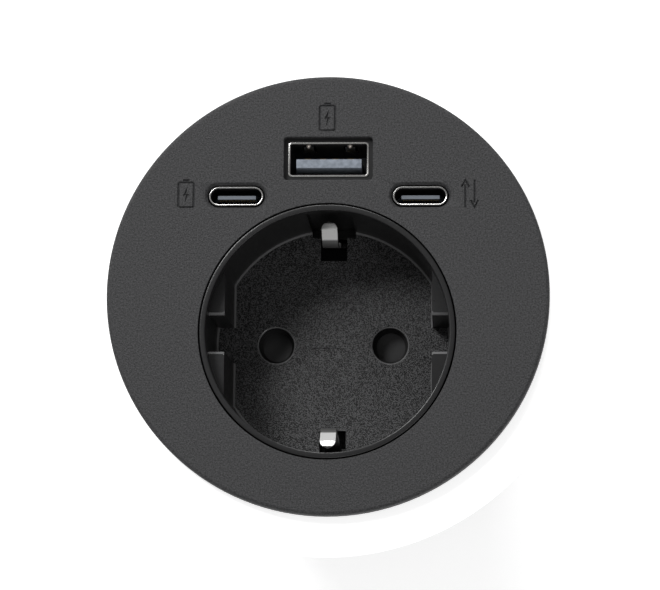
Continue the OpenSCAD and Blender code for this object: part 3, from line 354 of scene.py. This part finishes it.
def batteryLines(x, y):
    body = cornerLoop(x, y, 2.5, 4.1, 0.3, steps=3)
    half = [(0.25, 1.45), (-0.55, -0.15), (-0.05, -0.15)]
    bolt = [(x + sign * px, y + sign * py) for sign in (1, -1) for px, py in half]
    spine = [(x + px, y + py) for px, py in ((0.06, 0.7), (-0.17, 0.02), (0.17, -0.02), (-0.06, -0.7))]
    nub = [(x - 0.4, y + 2.44), (x + 0.4, y + 2.44)]
    return [(body, True, 1.0, None), (spine, False, 1.0, bolt), (nub, False, 0.8, None)]


def arrowLines(x, y):  # two arrows, one up and one down
    lines = []
    for side in (-1, 1):
        cx = x + side * 0.75
        stem = [(cx, y + side * 2.1), (cx, y - side * 1.3)]
        head = [(cx - 0.55, y - side * 1.2), (cx, y - side * 2.25), (cx + 0.55, y - side * 1.2)]
        lines += [(stem, False, 0.9, None), (head, False, 0.9, None)]
    return lines


def edgeSteps(size, top, count=4):  # a quarter round from the flat top down to a wall
    return [(size * (1 - math.sin(math.pi / 2 * i / count)), top - size * (1 - math.cos(math.pi / 2 * i / count)))
            for i in range(count + 1)]


def coverMesh():
    top, under = cover["top"], cover["under"]
    wellX, wellY, wellR = cover["well"]
    portX, portY, portW, portH, portR = cover["largePort"]
    endR = cover["smallHigh"] / 2
    bevel = cover["smallBevel"]
    smallSteps = [(bevel + 0.06, top), (bevel - 0.02, top - 0.04), (0.04, top - bevel), (0.0, top - bevel - 0.08),
                  (0.0, under)]
    openings = [
        (lambda g: circleLoop(wellX, wellY, wellR + g), edgeSteps(cover["wellEdge"], top) + [(0.0, under)]),
        (lambda g: cornerLoop(portX, portY, portW, portH, portR, g),
         edgeSteps(cover["largeEdge"], top) + [(0.0, under)]),
    ]
    for px, py in cover["smallPorts"]:
        openings.append((lambda g, px=px, py=py: cornerLoop(px, py, cover["smallWide"], cover["smallHigh"],
                                                            endR - 0.001, g, 14), smallSteps))
    points, edges, faces, low = [], [], [], set()

    def loop(line, closed=True, fill=False, sunk=False):
        start = len(points)
        points.extend(Vector(p) for p in line)
        count = len(line)
        edges.extend((start + i, start + (i + 1) % count) for i in range(count if closed else count - 1))
        if fill:
            faces.append(list(range(start, start + count)))
        if sunk:
            low.update(range(start, start + count))
        return list(range(start, start + count))

    outer = loop(circleLoop(0, 0, cover["radius"] - cover["rimRound"], cover["rimPoints"]), fill=True)
    rings = [loop(make(steps[0][0]), fill=True) for make, steps in openings]
    icons = [stroke for spot in cover["batteries"] for stroke in batteryLines(*spot)]
    icons += arrowLines(*cover["arrows"])
    for line, closed, share, outline in icons:
        left, right = strokeSides(line, cover["grooveWide"] * share, closed)
        if outline:
            loop(outline)
        elif closed:
            loop(left)
            loop(right)
        else:
            loop(left + right[::-1])
        loop(line, closed, sunk=True)
    flat = delaunay_2d_cdt(points, edges, faces, 0, 1e-6)
    spots = [(p.x, p.y, top - (cover["grooveDeep"] if low & set(flat[3][i]) else 0.0))
             for i, p in enumerate(flat[0])]
    found = {source: i for i, sources in enumerate(flat[3]) for source in sources}
    skins = [list(f) for f, inside in zip(flat[2], flat[5]) if inside and 0 in inside and len(inside) == 1]

    def wall(first, make, steps, outwards):
        last = [found[i] for i in first]
        for grow, z in steps[1:]:
            start = len(spots)
            spots.extend((x, y, z) for x, y in make(grow))
            row = list(range(start, len(spots)))
            count = len(row)
            for i in range(count):
                j = (i + 1) % count
                quad = [last[i], row[i], row[j], last[j]]
                skins.append(quad if outwards else quad[::-1])
            last = row

    rimSteps = [(-cover["rimRound"] + cover["rimRound"] * math.sin(math.pi / 2 * i / 8),
                 top - cover["rimRound"] * (1 - math.cos(math.pi / 2 * i / 8))) for i in range(9)]
    rimSteps += [(0.0, cover["footEdge"]), (-cover["footEdge"], 0.0)]
    wall(outer, lambda g: circleLoop(0, 0, cover["radius"] + g, cover["rimPoints"]), rimSteps, True)
    for first, (make, steps) in zip(rings, openings):
        wall(first, make, steps, False)
    return spots, skins


spots, skins = coverMesh()
below = cleanCopy("face_cover", lambda f: max(v.co.z for v in f.verts) < 1.003 * mm)
base = len(spots)
spots += [tuple(v.co / mm) for v in below.vertices]
skins += [[base + i for i in f.vertices] for f in below.polygons]
coverPiece = meshPiece("coverDisc", plainMesh("coverDisc", spots, skins), [finishes["cover_plastic"]], "root")
finishMesh(coverPiece, 30)
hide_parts("face_cover")
print("cover made:", len(skins), "faces")


# Socket insert and what is seen in it

insert = {
    "centre": (0.0, -6.05), "floorZ": -14.9, "pinX": 9.5, "holeR": 2.95, "holeEdge": 0.35, "floorEdge": 0.25,
    "edge": 0.2, "lipMiddle": 20.275, "lipHalf": 0.475, "lipZ": 2.125, "lipPower": 0.4,
    "softR": 19.6, "softZ": 1.3, "clipTip": 18.69, "clipRound": 1.1, "clipPoint": 0.35, "clipSteps": 6,
    "clipFoot": -6.0,
}


def floorLoops(shape):  # takes the floor's faces away and gives the loops of vertices round them
    level = insert["floorZ"] * mm
    faces = {f for f in shape.faces if f.normal.z > 0.99 and all(abs(v.co.z - level) < 0.01 * mm for v in f.verts)}
    ahead = {}
    for f in faces:
        for corner in f.loops:
            if sum(g in faces for g in corner.edge.link_faces) == 1:
                ahead[corner.vert] = corner.link_loop_next.vert
    bmesh.ops.delete(shape, geom=list(faces), context="FACES_ONLY")
    loops = []
    while ahead:
        first, here = ahead.popitem()
        loops.append([first])
        while here is not first:
            loops[-1].append(here)
            here = ahead.pop(here)
    return loops


def newFloor(shape):  # the floor again, with rounded pin holes and a fillet up to the walls
    cx, cy = insert["centre"]
    level, steps = insert["floorZ"], 4
    loops = floorLoops(shape)
    points, edges, fills, outers, owners = [], [], [], [], []
    for loop in loops:
        flat = [Vector((v.co.x, v.co.y)) / mm for v in loop]
        fromPin = [math.hypot(abs(p.x - cx) - insert["pinX"], p.y - cy) for p in flat]
        hole = all(abs(away - insert["holeR"]) < 0.03 for away in fromPin)
        size = insert["holeEdge"] if hole else insert["floorEdge"]
        inwards = strokeSides(flat, 2.0, True)[0]
        rows = [loop]
        free = [hole or any(f.calc_center_median().z > (level + 0.3) * mm for f in v.link_faces) for v in loop]
        for k in range(1, steps + 1):
            turn = math.pi / 2 * k / steps
            away, up = size * (1 - math.cos(turn)), size * (1 - math.sin(turn)) * (-1 if hole else 1)
            rows.append([shape.verts.new(((p.x + (q.x - p.x) * away) * mm, (p.y + (q.y - p.y) * away) * mm,
                                          (level + up) * mm)) if moves else v
                         for p, q, v, moves in zip(flat, inwards, loop, free)])
        for v, moves in zip(loop, free):
            if moves:
                v.co.z += (-size if hole else size) * mm
        count = len(loop)
        for low, high in zip(rows, rows[1:]):
            for i in range(count):
                j = (i + 1) % count
                corners = list(dict.fromkeys((low[i], low[j], high[j], high[i])))
                if len(corners) > 2 and not shape.faces.get(corners):
                    shape.faces.new(corners)
        area = sum(p.x * q.y - q.x * p.y for p, q in zip(flat, flat[1:] + flat[:1]))
        if area > 0:
            outers.append(len(fills))
        start = len(points)
        points += [Vector((v.co.x, v.co.y)) / mm for v in rows[-1]]
        owners += rows[-1]
        edges += [(start + i, start + (i + 1) % count) for i in range(count)]
        fills.append(list(range(start, start + count))[::1 if area > 0 else -1])
    flat = delaunay_2d_cdt(points, edges, fills, 0, 1e-6)
    for face, inside in zip(flat[2], flat[5]):
        if len(inside) == 1 and inside[0] in outers:
            corners = [owners[flat[3][i][0]] for i in face if flat[3][i]]
            if len(corners) == 3 and not shape.faces.get(corners):
                shape.faces.new(corners)
    shape.normal_update()
    print("floor made:", len(loops), "edge loops,", len(outers), "outer")


def shapeInsert(mesh):  # a flatter lip and a new floor
    cx, cy = insert["centre"]
    for v in mesh.vertices:
        x, y, z = v.co.x / mm - cx, v.co.y / mm - cy, v.co.z / mm
        r = math.hypot(x, y)
        across, up = (r - insert["lipMiddle"]) / insert["lipHalf"], (z - insert["lipZ"]) / insert["lipHalf"]
        if up > 0.01 and abs(across) < 1.02:
            across = math.copysign(abs(across) ** insert["lipPower"], across)
            up = up ** insert["lipPower"]
            grow = (insert["lipMiddle"] + insert["lipHalf"] * min(1, max(-1, across))) / r
            v.co = Vector((cx + x * grow, cy + y * grow, insert["lipZ"] + insert["lipHalf"] * min(1, up))) * mm
    shape = bmesh.new()
    shape.from_mesh(mesh)
    newFloor(shape)
    weight = shape.edges.layers.float.new("bevel_weight_edge")
    for line in shape.edges:
        inWell = all(math.hypot(v.co.x / mm - cx, v.co.y / mm - cy) < insert["softR"]
                     and insert["floorZ"] + 1 < v.co.z / mm < insert["softZ"] for v in line.verts)
        if inWell and len(line.link_faces) == 2 and line.calc_face_angle(0.0) > math.radians(35):
            line[weight] = 1.0
    shape.to_mesh(mesh)
    shape.free()


insertPiece = softened("socket_insert", insert["edge"], 3, 35, shapeInsert, True)
insertPiece.data.materials.append(sandFloor)
insertPiece.data.materials.append(edgeShine)
for face in insertPiece.data.polygons:
    height = face.center.z / mm
    if face.normal.z > 0.98 and abs(height - insert["floorZ"]) < 0.05:
        face.material_index = 1
    # painted highlight on the well's rounded edges, pin hole rims and floor fillet
    elif 0.26 < face.normal.z < 0.97 and insert["floorZ"] - 0.5 < height < 1.4:
        face.material_index = 2


def roundTips(mesh):  # both clips end in a half round
    cy, tip, size = insert["centre"][1], insert["clipTip"], insert["clipRound"]
    point, steps = insert["clipPoint"], insert["clipSteps"]
    shape = bmesh.new()
    shape.from_mesh(mesh)
    for side in (-1, 1):
        for k in range(1, steps + 1):
            cut = (0, (cy + side * (tip - size * k / steps)) * mm, 0)
            bmesh.ops.bisect_plane(shape, geom=shape.verts[:] + shape.edges[:] + shape.faces[:], dist=0.001 * mm,
                                   plane_co=cut, plane_no=(0, 1, 0))
    for v in shape.verts:
        left = (tip - abs(v.co.y / mm - cy)) / size
        if left < 1 and v.co.z / mm > insert["clipFoot"]:
            v.co.x *= point + (1 - point) * math.sqrt(max(0.0, 1 - (1 - left) ** 2))
    shape.to_mesh(mesh)
    shape.free()


softened("earth_bracket", 0.12, 2, 30, roundTips)
softened("shutter", 0.1)

ports = {
    "usb_a_shell": (0.0, 22.3), "usb_c_left_shell": (-15.01, 16.09), "usb_c_right_shell": (15.01, 16.09),
    "shelfZ": 1.45, "shelfThick": 0.4, "shellWide": 13.15, "shellHigh": 5.75,
    "dimpleX": 3.4, "dimpleY": 24.9, "dimpleZ": 0.35, "dimple": (0.42, 0.5, 0.45),
    "tongueY": 21.55, "tongueCut": 0.5, "tongueDrop": 0.9, "bladeWide": 0.93, "bladeHigh": 0.85,
    "bladeLong": 0.5, "brightDeep": 0.5,
}
for name in ("usb_a_shell", "usb_c_left_shell", "usb_c_right_shell"):
    shell = softened(name, 0.09)
    shell.data.materials.append(portShade)
    top = max(v.co.z for v in shell.data.vertices)
    for face in shell.data.polygons:
        away = Vector((face.center.x - ports[name][0] * mm, face.center.y - ports[name][1] * mm))
        inwards = away.dot(face.normal.xy) < 0
        rim = 0.3 < face.normal.z < 0.95
        if name == "usb_a_shell":
            dark = inwards and face.normal.z < 0.95
        else:
            dark = rim and not inwards or inwards and not rim and face.normal.z < 0.95
        if dark or face.center.z < top - ports["brightDeep"] * mm:
            face.material_index = 1


def cutTongue(mesh):  # the lower part of its end slopes back
    shape = bmesh.new()
    shape.from_mesh(mesh)
    top = max(v.co.z for v in shape.verts)
    line = (ports["tongueY"] - ports["tongueCut"]) * mm
    bmesh.ops.bisect_plane(shape, geom=shape.verts[:] + shape.edges[:] + shape.faces[:], dist=0.001 * mm,
                           plane_co=(0, line, 0), plane_no=(0, 1, 0))
    for v in shape.verts:
        if v.co.z > top - 0.01 * mm and v.co.y < line - 0.1 * mm:
            v.co.z -= ports["tongueDrop"] * mm
    shape.to_mesh(mesh)
    shape.free()


def slimTongue(mesh):  # its blade narrows towards the mouth
    top = max(v.co.z for v in mesh.vertices)
    blade = [v for v in mesh.vertices if v.co.z > top - ports["bladeLong"] * mm]
    middle = sum((v.co for v in blade), Vector()) / len(blade)
    for v in blade:
        v.co.x = middle.x + (v.co.x - middle.x) * ports["bladeWide"]
        v.co.y = middle.y + (v.co.y - middle.y) * ports["bladeHigh"]


softened("usb_a_tongue", 0.08, change=cutTongue)
for name in ("usb_c_left_tongue", "usb_c_right_tongue"):
    softened(name, 0.08, change=slimTongue)

portX, portY, portW, portH, portR = cover["largePort"]
shelf = [[(x, y, z) for x, y in cornerLoop(portX, portY, w, h, r)]
         for w, h, r, z in ((portW + 0.1, portH + 0.1, portR, ports["shelfZ"]),
                            (ports["shellWide"] + 0.06, ports["shellHigh"] + 0.06, 0.62, ports["shelfZ"]),
                            (ports["shellWide"] + 0.06, ports["shellHigh"] + 0.06, 0.62,
                             ports["shelfZ"] - ports["shelfThick"]),
                            (portW + 0.1, portH + 0.1, portR, ports["shelfZ"] - ports["shelfThick"]))]
count = len(shelf[0])
shelfFaces = [[k * count + i, k * count + (i + 1) % count, (k + 1) % 4 * count + (i + 1) % count,
               (k + 1) % 4 * count + i] for k in range(4) for i in range(count)]
shelfMesh = plainMesh("largePortShelf", [p for line in shelf for p in line], shelfFaces)
shelfPiece = meshPiece("largePortShelf", shelfMesh, [finishes["insert_plastic"]], "root")
finishMesh(shelfPiece, 30)

shape = bmesh.new()
for side in (-1, 1):
    at = Matrix.Translation(Vector((side * ports["dimpleX"], ports["dimpleY"], ports["dimpleZ"])) * mm)
    size = Matrix.Diagonal((*(s * mm for s in ports["dimple"]), 1))
    bmesh.ops.create_uvsphere(shape, u_segments=20, v_segments=12, radius=1.0, matrix=at @ size)
dimpleMesh = bpy.data.meshes.new("portDimples")
shape.to_mesh(dimpleMesh)
shape.free()
dimples = meshPiece("portDimples", dimpleMesh, [dimpleSteel], bodyOf["usb_a_shell"])
finishMesh(dimples, 60)
print("insert and ports made")


# Barrel with its thread, and small pieces grown by node trees

thread = {"pitch": 4.0, "sectors": 4, "facets": 180, "rootR": 28.85, "foot": -57.2, "top": -7.3}


def spiral(mesh):  # tilts each level sector of the thread so that the turns rise evenly, on a plain wall
    sector = 2 * math.pi / thread["sectors"]
    foot, top, rootR = thread["foot"], thread["top"], thread["rootR"]
    shape = bmesh.new()
    shape.from_mesh(mesh)
    wall = [f for f in shape.faces
            if all(abs(v.co.xy.length / mm - rootR) < 0.03 for v in f.verts)
            and all(foot - 0.05 < v.co.z / mm < top + 0.05 for v in f.verts)]
    bmesh.ops.delete(shape, geom=wall, context="FACES")
    for v in shape.verts:
        if v.co.xy.length > (rootR - 0.03) * mm and foot < v.co.z / mm < top:
            away = (math.atan2(v.co.y, v.co.x) + sector / 2) % sector - sector / 2
            v.co.z += away / (2 * math.pi) * thread["pitch"] * mm
    count = thread["facets"]
    rows = [[shape.verts.new((x * mm, y * mm, z * mm)) for x, y in circleLoop(0, 0, rootR + 0.01, count)]
            for z in (foot - 0.1, top + 0.1)]
    for i in range(count):
        j = (i + 1) % count
        shape.faces.new((rows[0][i], rows[0][j], rows[1][j], rows[1][i]))
    shape.to_mesh(mesh)
    shape.free()
    print("thread tilted:", len(wall), "wall faces replaced")


softened("housing_barrel", 0.15, 2, 32, spiral)
print("barrel made")


def nodeTree(name, inputs):  # an empty Geometry Nodes tree with named inputs
    tree = bpy.data.node_groups.new(name, "GeometryNodeTree")
    tree.interface.new_socket("Geometry", in_out="OUTPUT", socket_type="NodeSocketGeometry")
    keys = {}
    for label, kind, value in inputs:
        socket = tree.interface.new_socket(label, in_out="INPUT", socket_type=kind)
        keys[label] = socket.identifier
        socket.default_value = value
    return tree, tree.nodes.new("NodeGroupInput"), tree.nodes.new("NodeGroupOutput"), keys


def treeNode(tree, kind, links=None, **settings):
    node = tree.nodes.new(kind)
    for key, value in settings.items():
        setattr(node, key, value)
    for socket, value in (links or {}).items():
        if isinstance(value, bpy.types.NodeSocket):
            tree.links.new(value, node.inputs[socket])
        else:
            node.inputs[socket].default_value = value
    return node


def grown(name, tree, keys, values, slot):  # runs a tree and keeps its result as a plain piece
    piece = bpy.data.objects.new(name, bpy.data.meshes.new(name))
    bpy.context.scene.collection.objects.link(piece)
    live = piece.modifiers.new("grow", "NODES")
    live.node_group = tree
    for label, value in values.items():
        live[keys[label]] = value
    frozen(piece)
    finishMesh(piece, 40)
    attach(piece, "root")
    return piece


def painted(tree, shape, material, out):  # ends a tree
    real = treeNode(tree, "GeometryNodeRealizeInstances", {0: shape})
    done = treeNode(tree, "GeometryNodeSetMaterial", {"Geometry": real.outputs[0], "Material": material})
    tree.links.new(done.outputs[0], out.inputs[0])


guides = {"Spacing": 19.0, "Middle": -6.05, "Foot": -17.3, "Height": 0.8, "Wide": 2.94, "Narrow": 2.42}


def guideTree():  # a funnel at the foot of each pin hole; its near black plastic is painted shade that darkens the ring round the hole
    tree, given, out, keys = nodeTree("pinGuides", [(label, "NodeSocketFloat", value * mm)
                                                    for label, value in guides.items()])
    left = treeNode(tree, "ShaderNodeMath", {0: given.outputs["Spacing"], 1: -0.5}, operation="MULTIPLY")
    start = treeNode(tree, "ShaderNodeCombineXYZ", {0: left.outputs[0], 1: given.outputs["Middle"],
                                                    2: given.outputs["Foot"]})
    step = treeNode(tree, "ShaderNodeCombineXYZ", {0: given.outputs["Spacing"]})
    spots = treeNode(tree, "GeometryNodeMeshLine", {"Count": 2, "Start Location": start.outputs[0],
                                                    "Offset": step.outputs[0]})
    cone = treeNode(tree, "GeometryNodeMeshCone",
                    {"Vertices": 64, "Radius Top": given.outputs["Wide"], "Radius Bottom": given.outputs["Narrow"],
                     "Depth": given.outputs["Height"]}, fill_type="NONE")
    inside = treeNode(tree, "GeometryNodeFlipFaces", {0: cone.outputs[0]})  # it is seen from its inner side
    put = treeNode(tree, "GeometryNodeInstanceOnPoints",
                   {"Points": spots.outputs[0], "Instance": inside.outputs[0]})
    painted(tree, put.outputs[0], finishes["block_plastic"], out)
    return tree, keys


marks = {"Ring Radius": 2.4, "Ring Y": 4.2, "Line Y": -6.4, "Line Start": -4.7, "Line End": 0.6, "Floor": -14.9,
         "Thickness": 0.11}


def markTree():  # a raised ring and a raised line on the well's floor
    tree, given, out, keys = nodeTree("floorMarks", [(label, "NodeSocketFloat", value * mm)
                                                     for label, value in marks.items()])
    ring = treeNode(tree, "GeometryNodeCurvePrimitiveCircle",
                    {"Resolution": 72, "Radius": given.outputs["Ring Radius"]})
    ringAt = treeNode(tree, "ShaderNodeCombineXYZ", {1: given.outputs["Ring Y"], 2: given.outputs["Floor"]})
    moved = treeNode(tree, "GeometryNodeTransform",
                     {"Geometry": ring.outputs[0], "Translation": ringAt.outputs[0]})
    ends = [treeNode(tree, "ShaderNodeCombineXYZ", {0: given.outputs[label], 1: given.outputs["Line Y"],
                                                    2: given.outputs["Floor"]}).outputs[0]
            for label in ("Line Start", "Line End")]
    line = treeNode(tree, "GeometryNodeCurvePrimitiveLine", {"Start": ends[0], "End": ends[1]})
    both = treeNode(tree, "GeometryNodeJoinGeometry")
    for curve in (moved, line):
        tree.links.new(curve.outputs[0], both.inputs[0])
    section = treeNode(tree, "GeometryNodeCurvePrimitiveCircle",
                       {"Resolution": 8, "Radius": given.outputs["Thickness"]})
    solid = treeNode(tree, "GeometryNodeCurveToMesh",
                     {"Curve": both.outputs[0], "Profile Curve": section.outputs[0], "Fill Caps": True})
    painted(tree, solid.outputs[0], sandFloor, out)
    return tree, keys


for name, make, values, slot in (("pinGuides", guideTree, guides, "block_plastic"),
                                 ("floorMarks", markTree, marks, "insert_plastic")):
    grown(name, *make(), {label: value * mm for label, value in values.items()}, slot)
print("grown pieces made")


# The rest of the rigid parts

for name, width in {
    "base_cap": 0.2, "base_screws": 0.1, "mains_grommet": 0.25, "data_grommet": 0.25, "clamp_washer": 0.2,
    "clamp_nut": 0.3, "insert_screws": 0.1, "contact_base": 0.2, "block_screws": 0.1, "live_contact": 0.06,
    "neutral_contact": 0.06, "terminal_screws": 0.1, "transformer_core": 0.15, "transformer_winding": 0.2,
    "bulk_capacitor": 0.08, "output_capacitors": 0.06, "choke": 0.15, "fuse": 0.1, "rectifier": 0.1,
    "controller_chip": 0.06, "port_screws": 0.1, "riser_board": 0.04, "power_board": 0.04, "port_board": 0.04,
}.items():
    softened(name, width)
for name, node in nodes.items():
    if not node.hide_render:
        for spot in node.material_slots:
            spot.material = finishes[slotOf[name]]
print("other parts made")


# Stage: a floor under the base and a thin ring at the desk's level round the cover

stage = {"floorSize": 3000.0, "floorZ": -62.0, "ringIn": 34.6, "ringOut": 42.5, "ringTop": -0.02, "ringThick": 0.3,
         "ringPoints": 128, "shade": 0.86, "glow": 0.62}


def stagePaint(name, shade, glow):  # matt, and near white to the camera and in reflections
    material = bpy.data.materials.new(name)
    material.use_nodes = True
    tree = material.node_tree
    tree.nodes.clear()
    path = treeNode(tree, "ShaderNodeLightPath")
    seen = treeNode(tree, "ShaderNodeMath", {0: path.outputs["Is Camera Ray"], 1: path.outputs["Is Glossy Ray"]},
                    operation="MAXIMUM")
    level = treeNode(tree, "ShaderNodeMath", {0: seen.outputs[0], 1: glow}, operation="MULTIPLY")
    matt = treeNode(tree, "ShaderNodeBsdfDiffuse", {"Color": (shade, shade, shade, 1)})
    light = treeNode(tree, "ShaderNodeEmission", {"Strength": level.outputs[0]})
    both = treeNode(tree, "ShaderNodeAddShader", {0: matt.outputs[0], 1: light.outputs[0]})
    treeNode(tree, "ShaderNodeOutputMaterial", {"Surface": both.outputs[0]})
    return material


palePaint = stagePaint("palePaint", stage["shade"], stage["glow"])


def stagePiece(name, points, faces):
    mesh = plainMesh(name, points, faces)
    mesh.materials.append(palePaint)
    piece = bpy.data.objects.new(name, mesh)
    bpy.context.scene.collection.objects.link(piece)
    return piece


half = stage["floorSize"] / 2
corners = [(-half, -half), (half, -half), (half, half), (-half, half)]
floor = stagePiece("floor", [(x, y, stage["floorZ"]) for x, y in corners], [(0, 1, 2, 3)])
count = stage["ringPoints"]
ringSpots = [(x, y, z) for z in (stage["ringTop"], stage["ringTop"] - stage["ringThick"])
             for r in (stage["ringIn"], stage["ringOut"]) for x, y in circleLoop(0, 0, r, count)]
ringFaces = []
for i in range(count):
    j = (i + 1) % count
    ringFaces += [(i, count + i, count + j, j), (2 * count + j, 3 * count + j, 3 * count + i, 2 * count + i),
                  (count + i, 3 * count + i, 3 * count + j, count + j), (j, 2 * count + j, 2 * count + i, i)]
deskRing = stagePiece("deskRing", ringSpots, ringFaces)


# World, lamps and camera

light = {"sky": 0.3, "shine": 0.12}
lamps = {"keyLamp": ((-0.36, 0.38, 0.6), 3.9, 0.24), "fillLamp": ((0.4, -0.42, 0.5), 0.5, 0.2),
         "lowPanel": ((0.05, -0.62, 0.42), 0.7, 0.4), "highPanel": ((0.0, 0.62, 0.42), 2.4, 0.3)}
world = bpy.data.worlds.new("studio")
bpy.context.scene.world = world
world.use_nodes = True
sky = world.node_tree
sky.nodes.clear()
skyPath = treeNode(sky, "ShaderNodeLightPath")


def skyLevel(strength):
    return treeNode(sky, "ShaderNodeBackground", {"Color": (1, 1, 1, 1), "Strength": strength}).outputs[0]


def skySwitch(ray, off, on):
    return treeNode(sky, "ShaderNodeMixShader", {0: skyPath.outputs[ray], 1: off, 2: on}).outputs[0]


soft = skySwitch("Is Glossy Ray", skyLevel(light["sky"]), skyLevel(light["shine"]))
treeNode(sky, "ShaderNodeOutputWorld", {"Surface": skySwitch("Is Camera Ray", soft, skyLevel(1.0))})


def lamp(name, at, power, size):
    data = bpy.data.lights.new(name, "AREA")
    data.shape = "DISK"
    data.energy = power
    data.size = size
    item = bpy.data.objects.new(name, data)
    item.location = at
    item.rotation_mode = "QUATERNION"
    item.rotation_quaternion = (-Vector(at)).to_track_quat("-Z", "Y")
    bpy.context.scene.collection.objects.link(item)


for name, (spot, power, size) in lamps.items():
    lamp(name, spot, power, size)

shot = {"tiltX": -8.95, "tiltY": -3.6, "roll": -0.5, "distance": 550.0, "aside": -0.31, "up": -0.16, "lens": 184.4}
turn = (Matrix.Rotation(math.radians(shot["roll"]), 3, "Z") @ Matrix.Rotation(math.radians(shot["tiltX"]), 3, "X")
        @ Matrix.Rotation(math.radians(shot["tiltY"]), 3, "Y")).transposed()
cameraData = bpy.data.cameras.new("camera")
cameraData.lens = shot["lens"]
cameraData.sensor_width = 36.0
cameraData.clip_start = 0.01
cameraData.clip_end = 20.0
camera = bpy.data.objects.new("camera", cameraData)
bpy.context.scene.collection.objects.link(camera)
at = turn @ Vector((-shot["aside"], -shot["up"], shot["distance"])) * mm
camera.matrix_world = Matrix.Translation(at) @ turn.to_4x4()
bpy.context.scene.camera = camera
bpy.context.scene.view_settings.view_transform = "Standard"
print("stage, lamps and camera set")

bpy.context.view_layer.update()
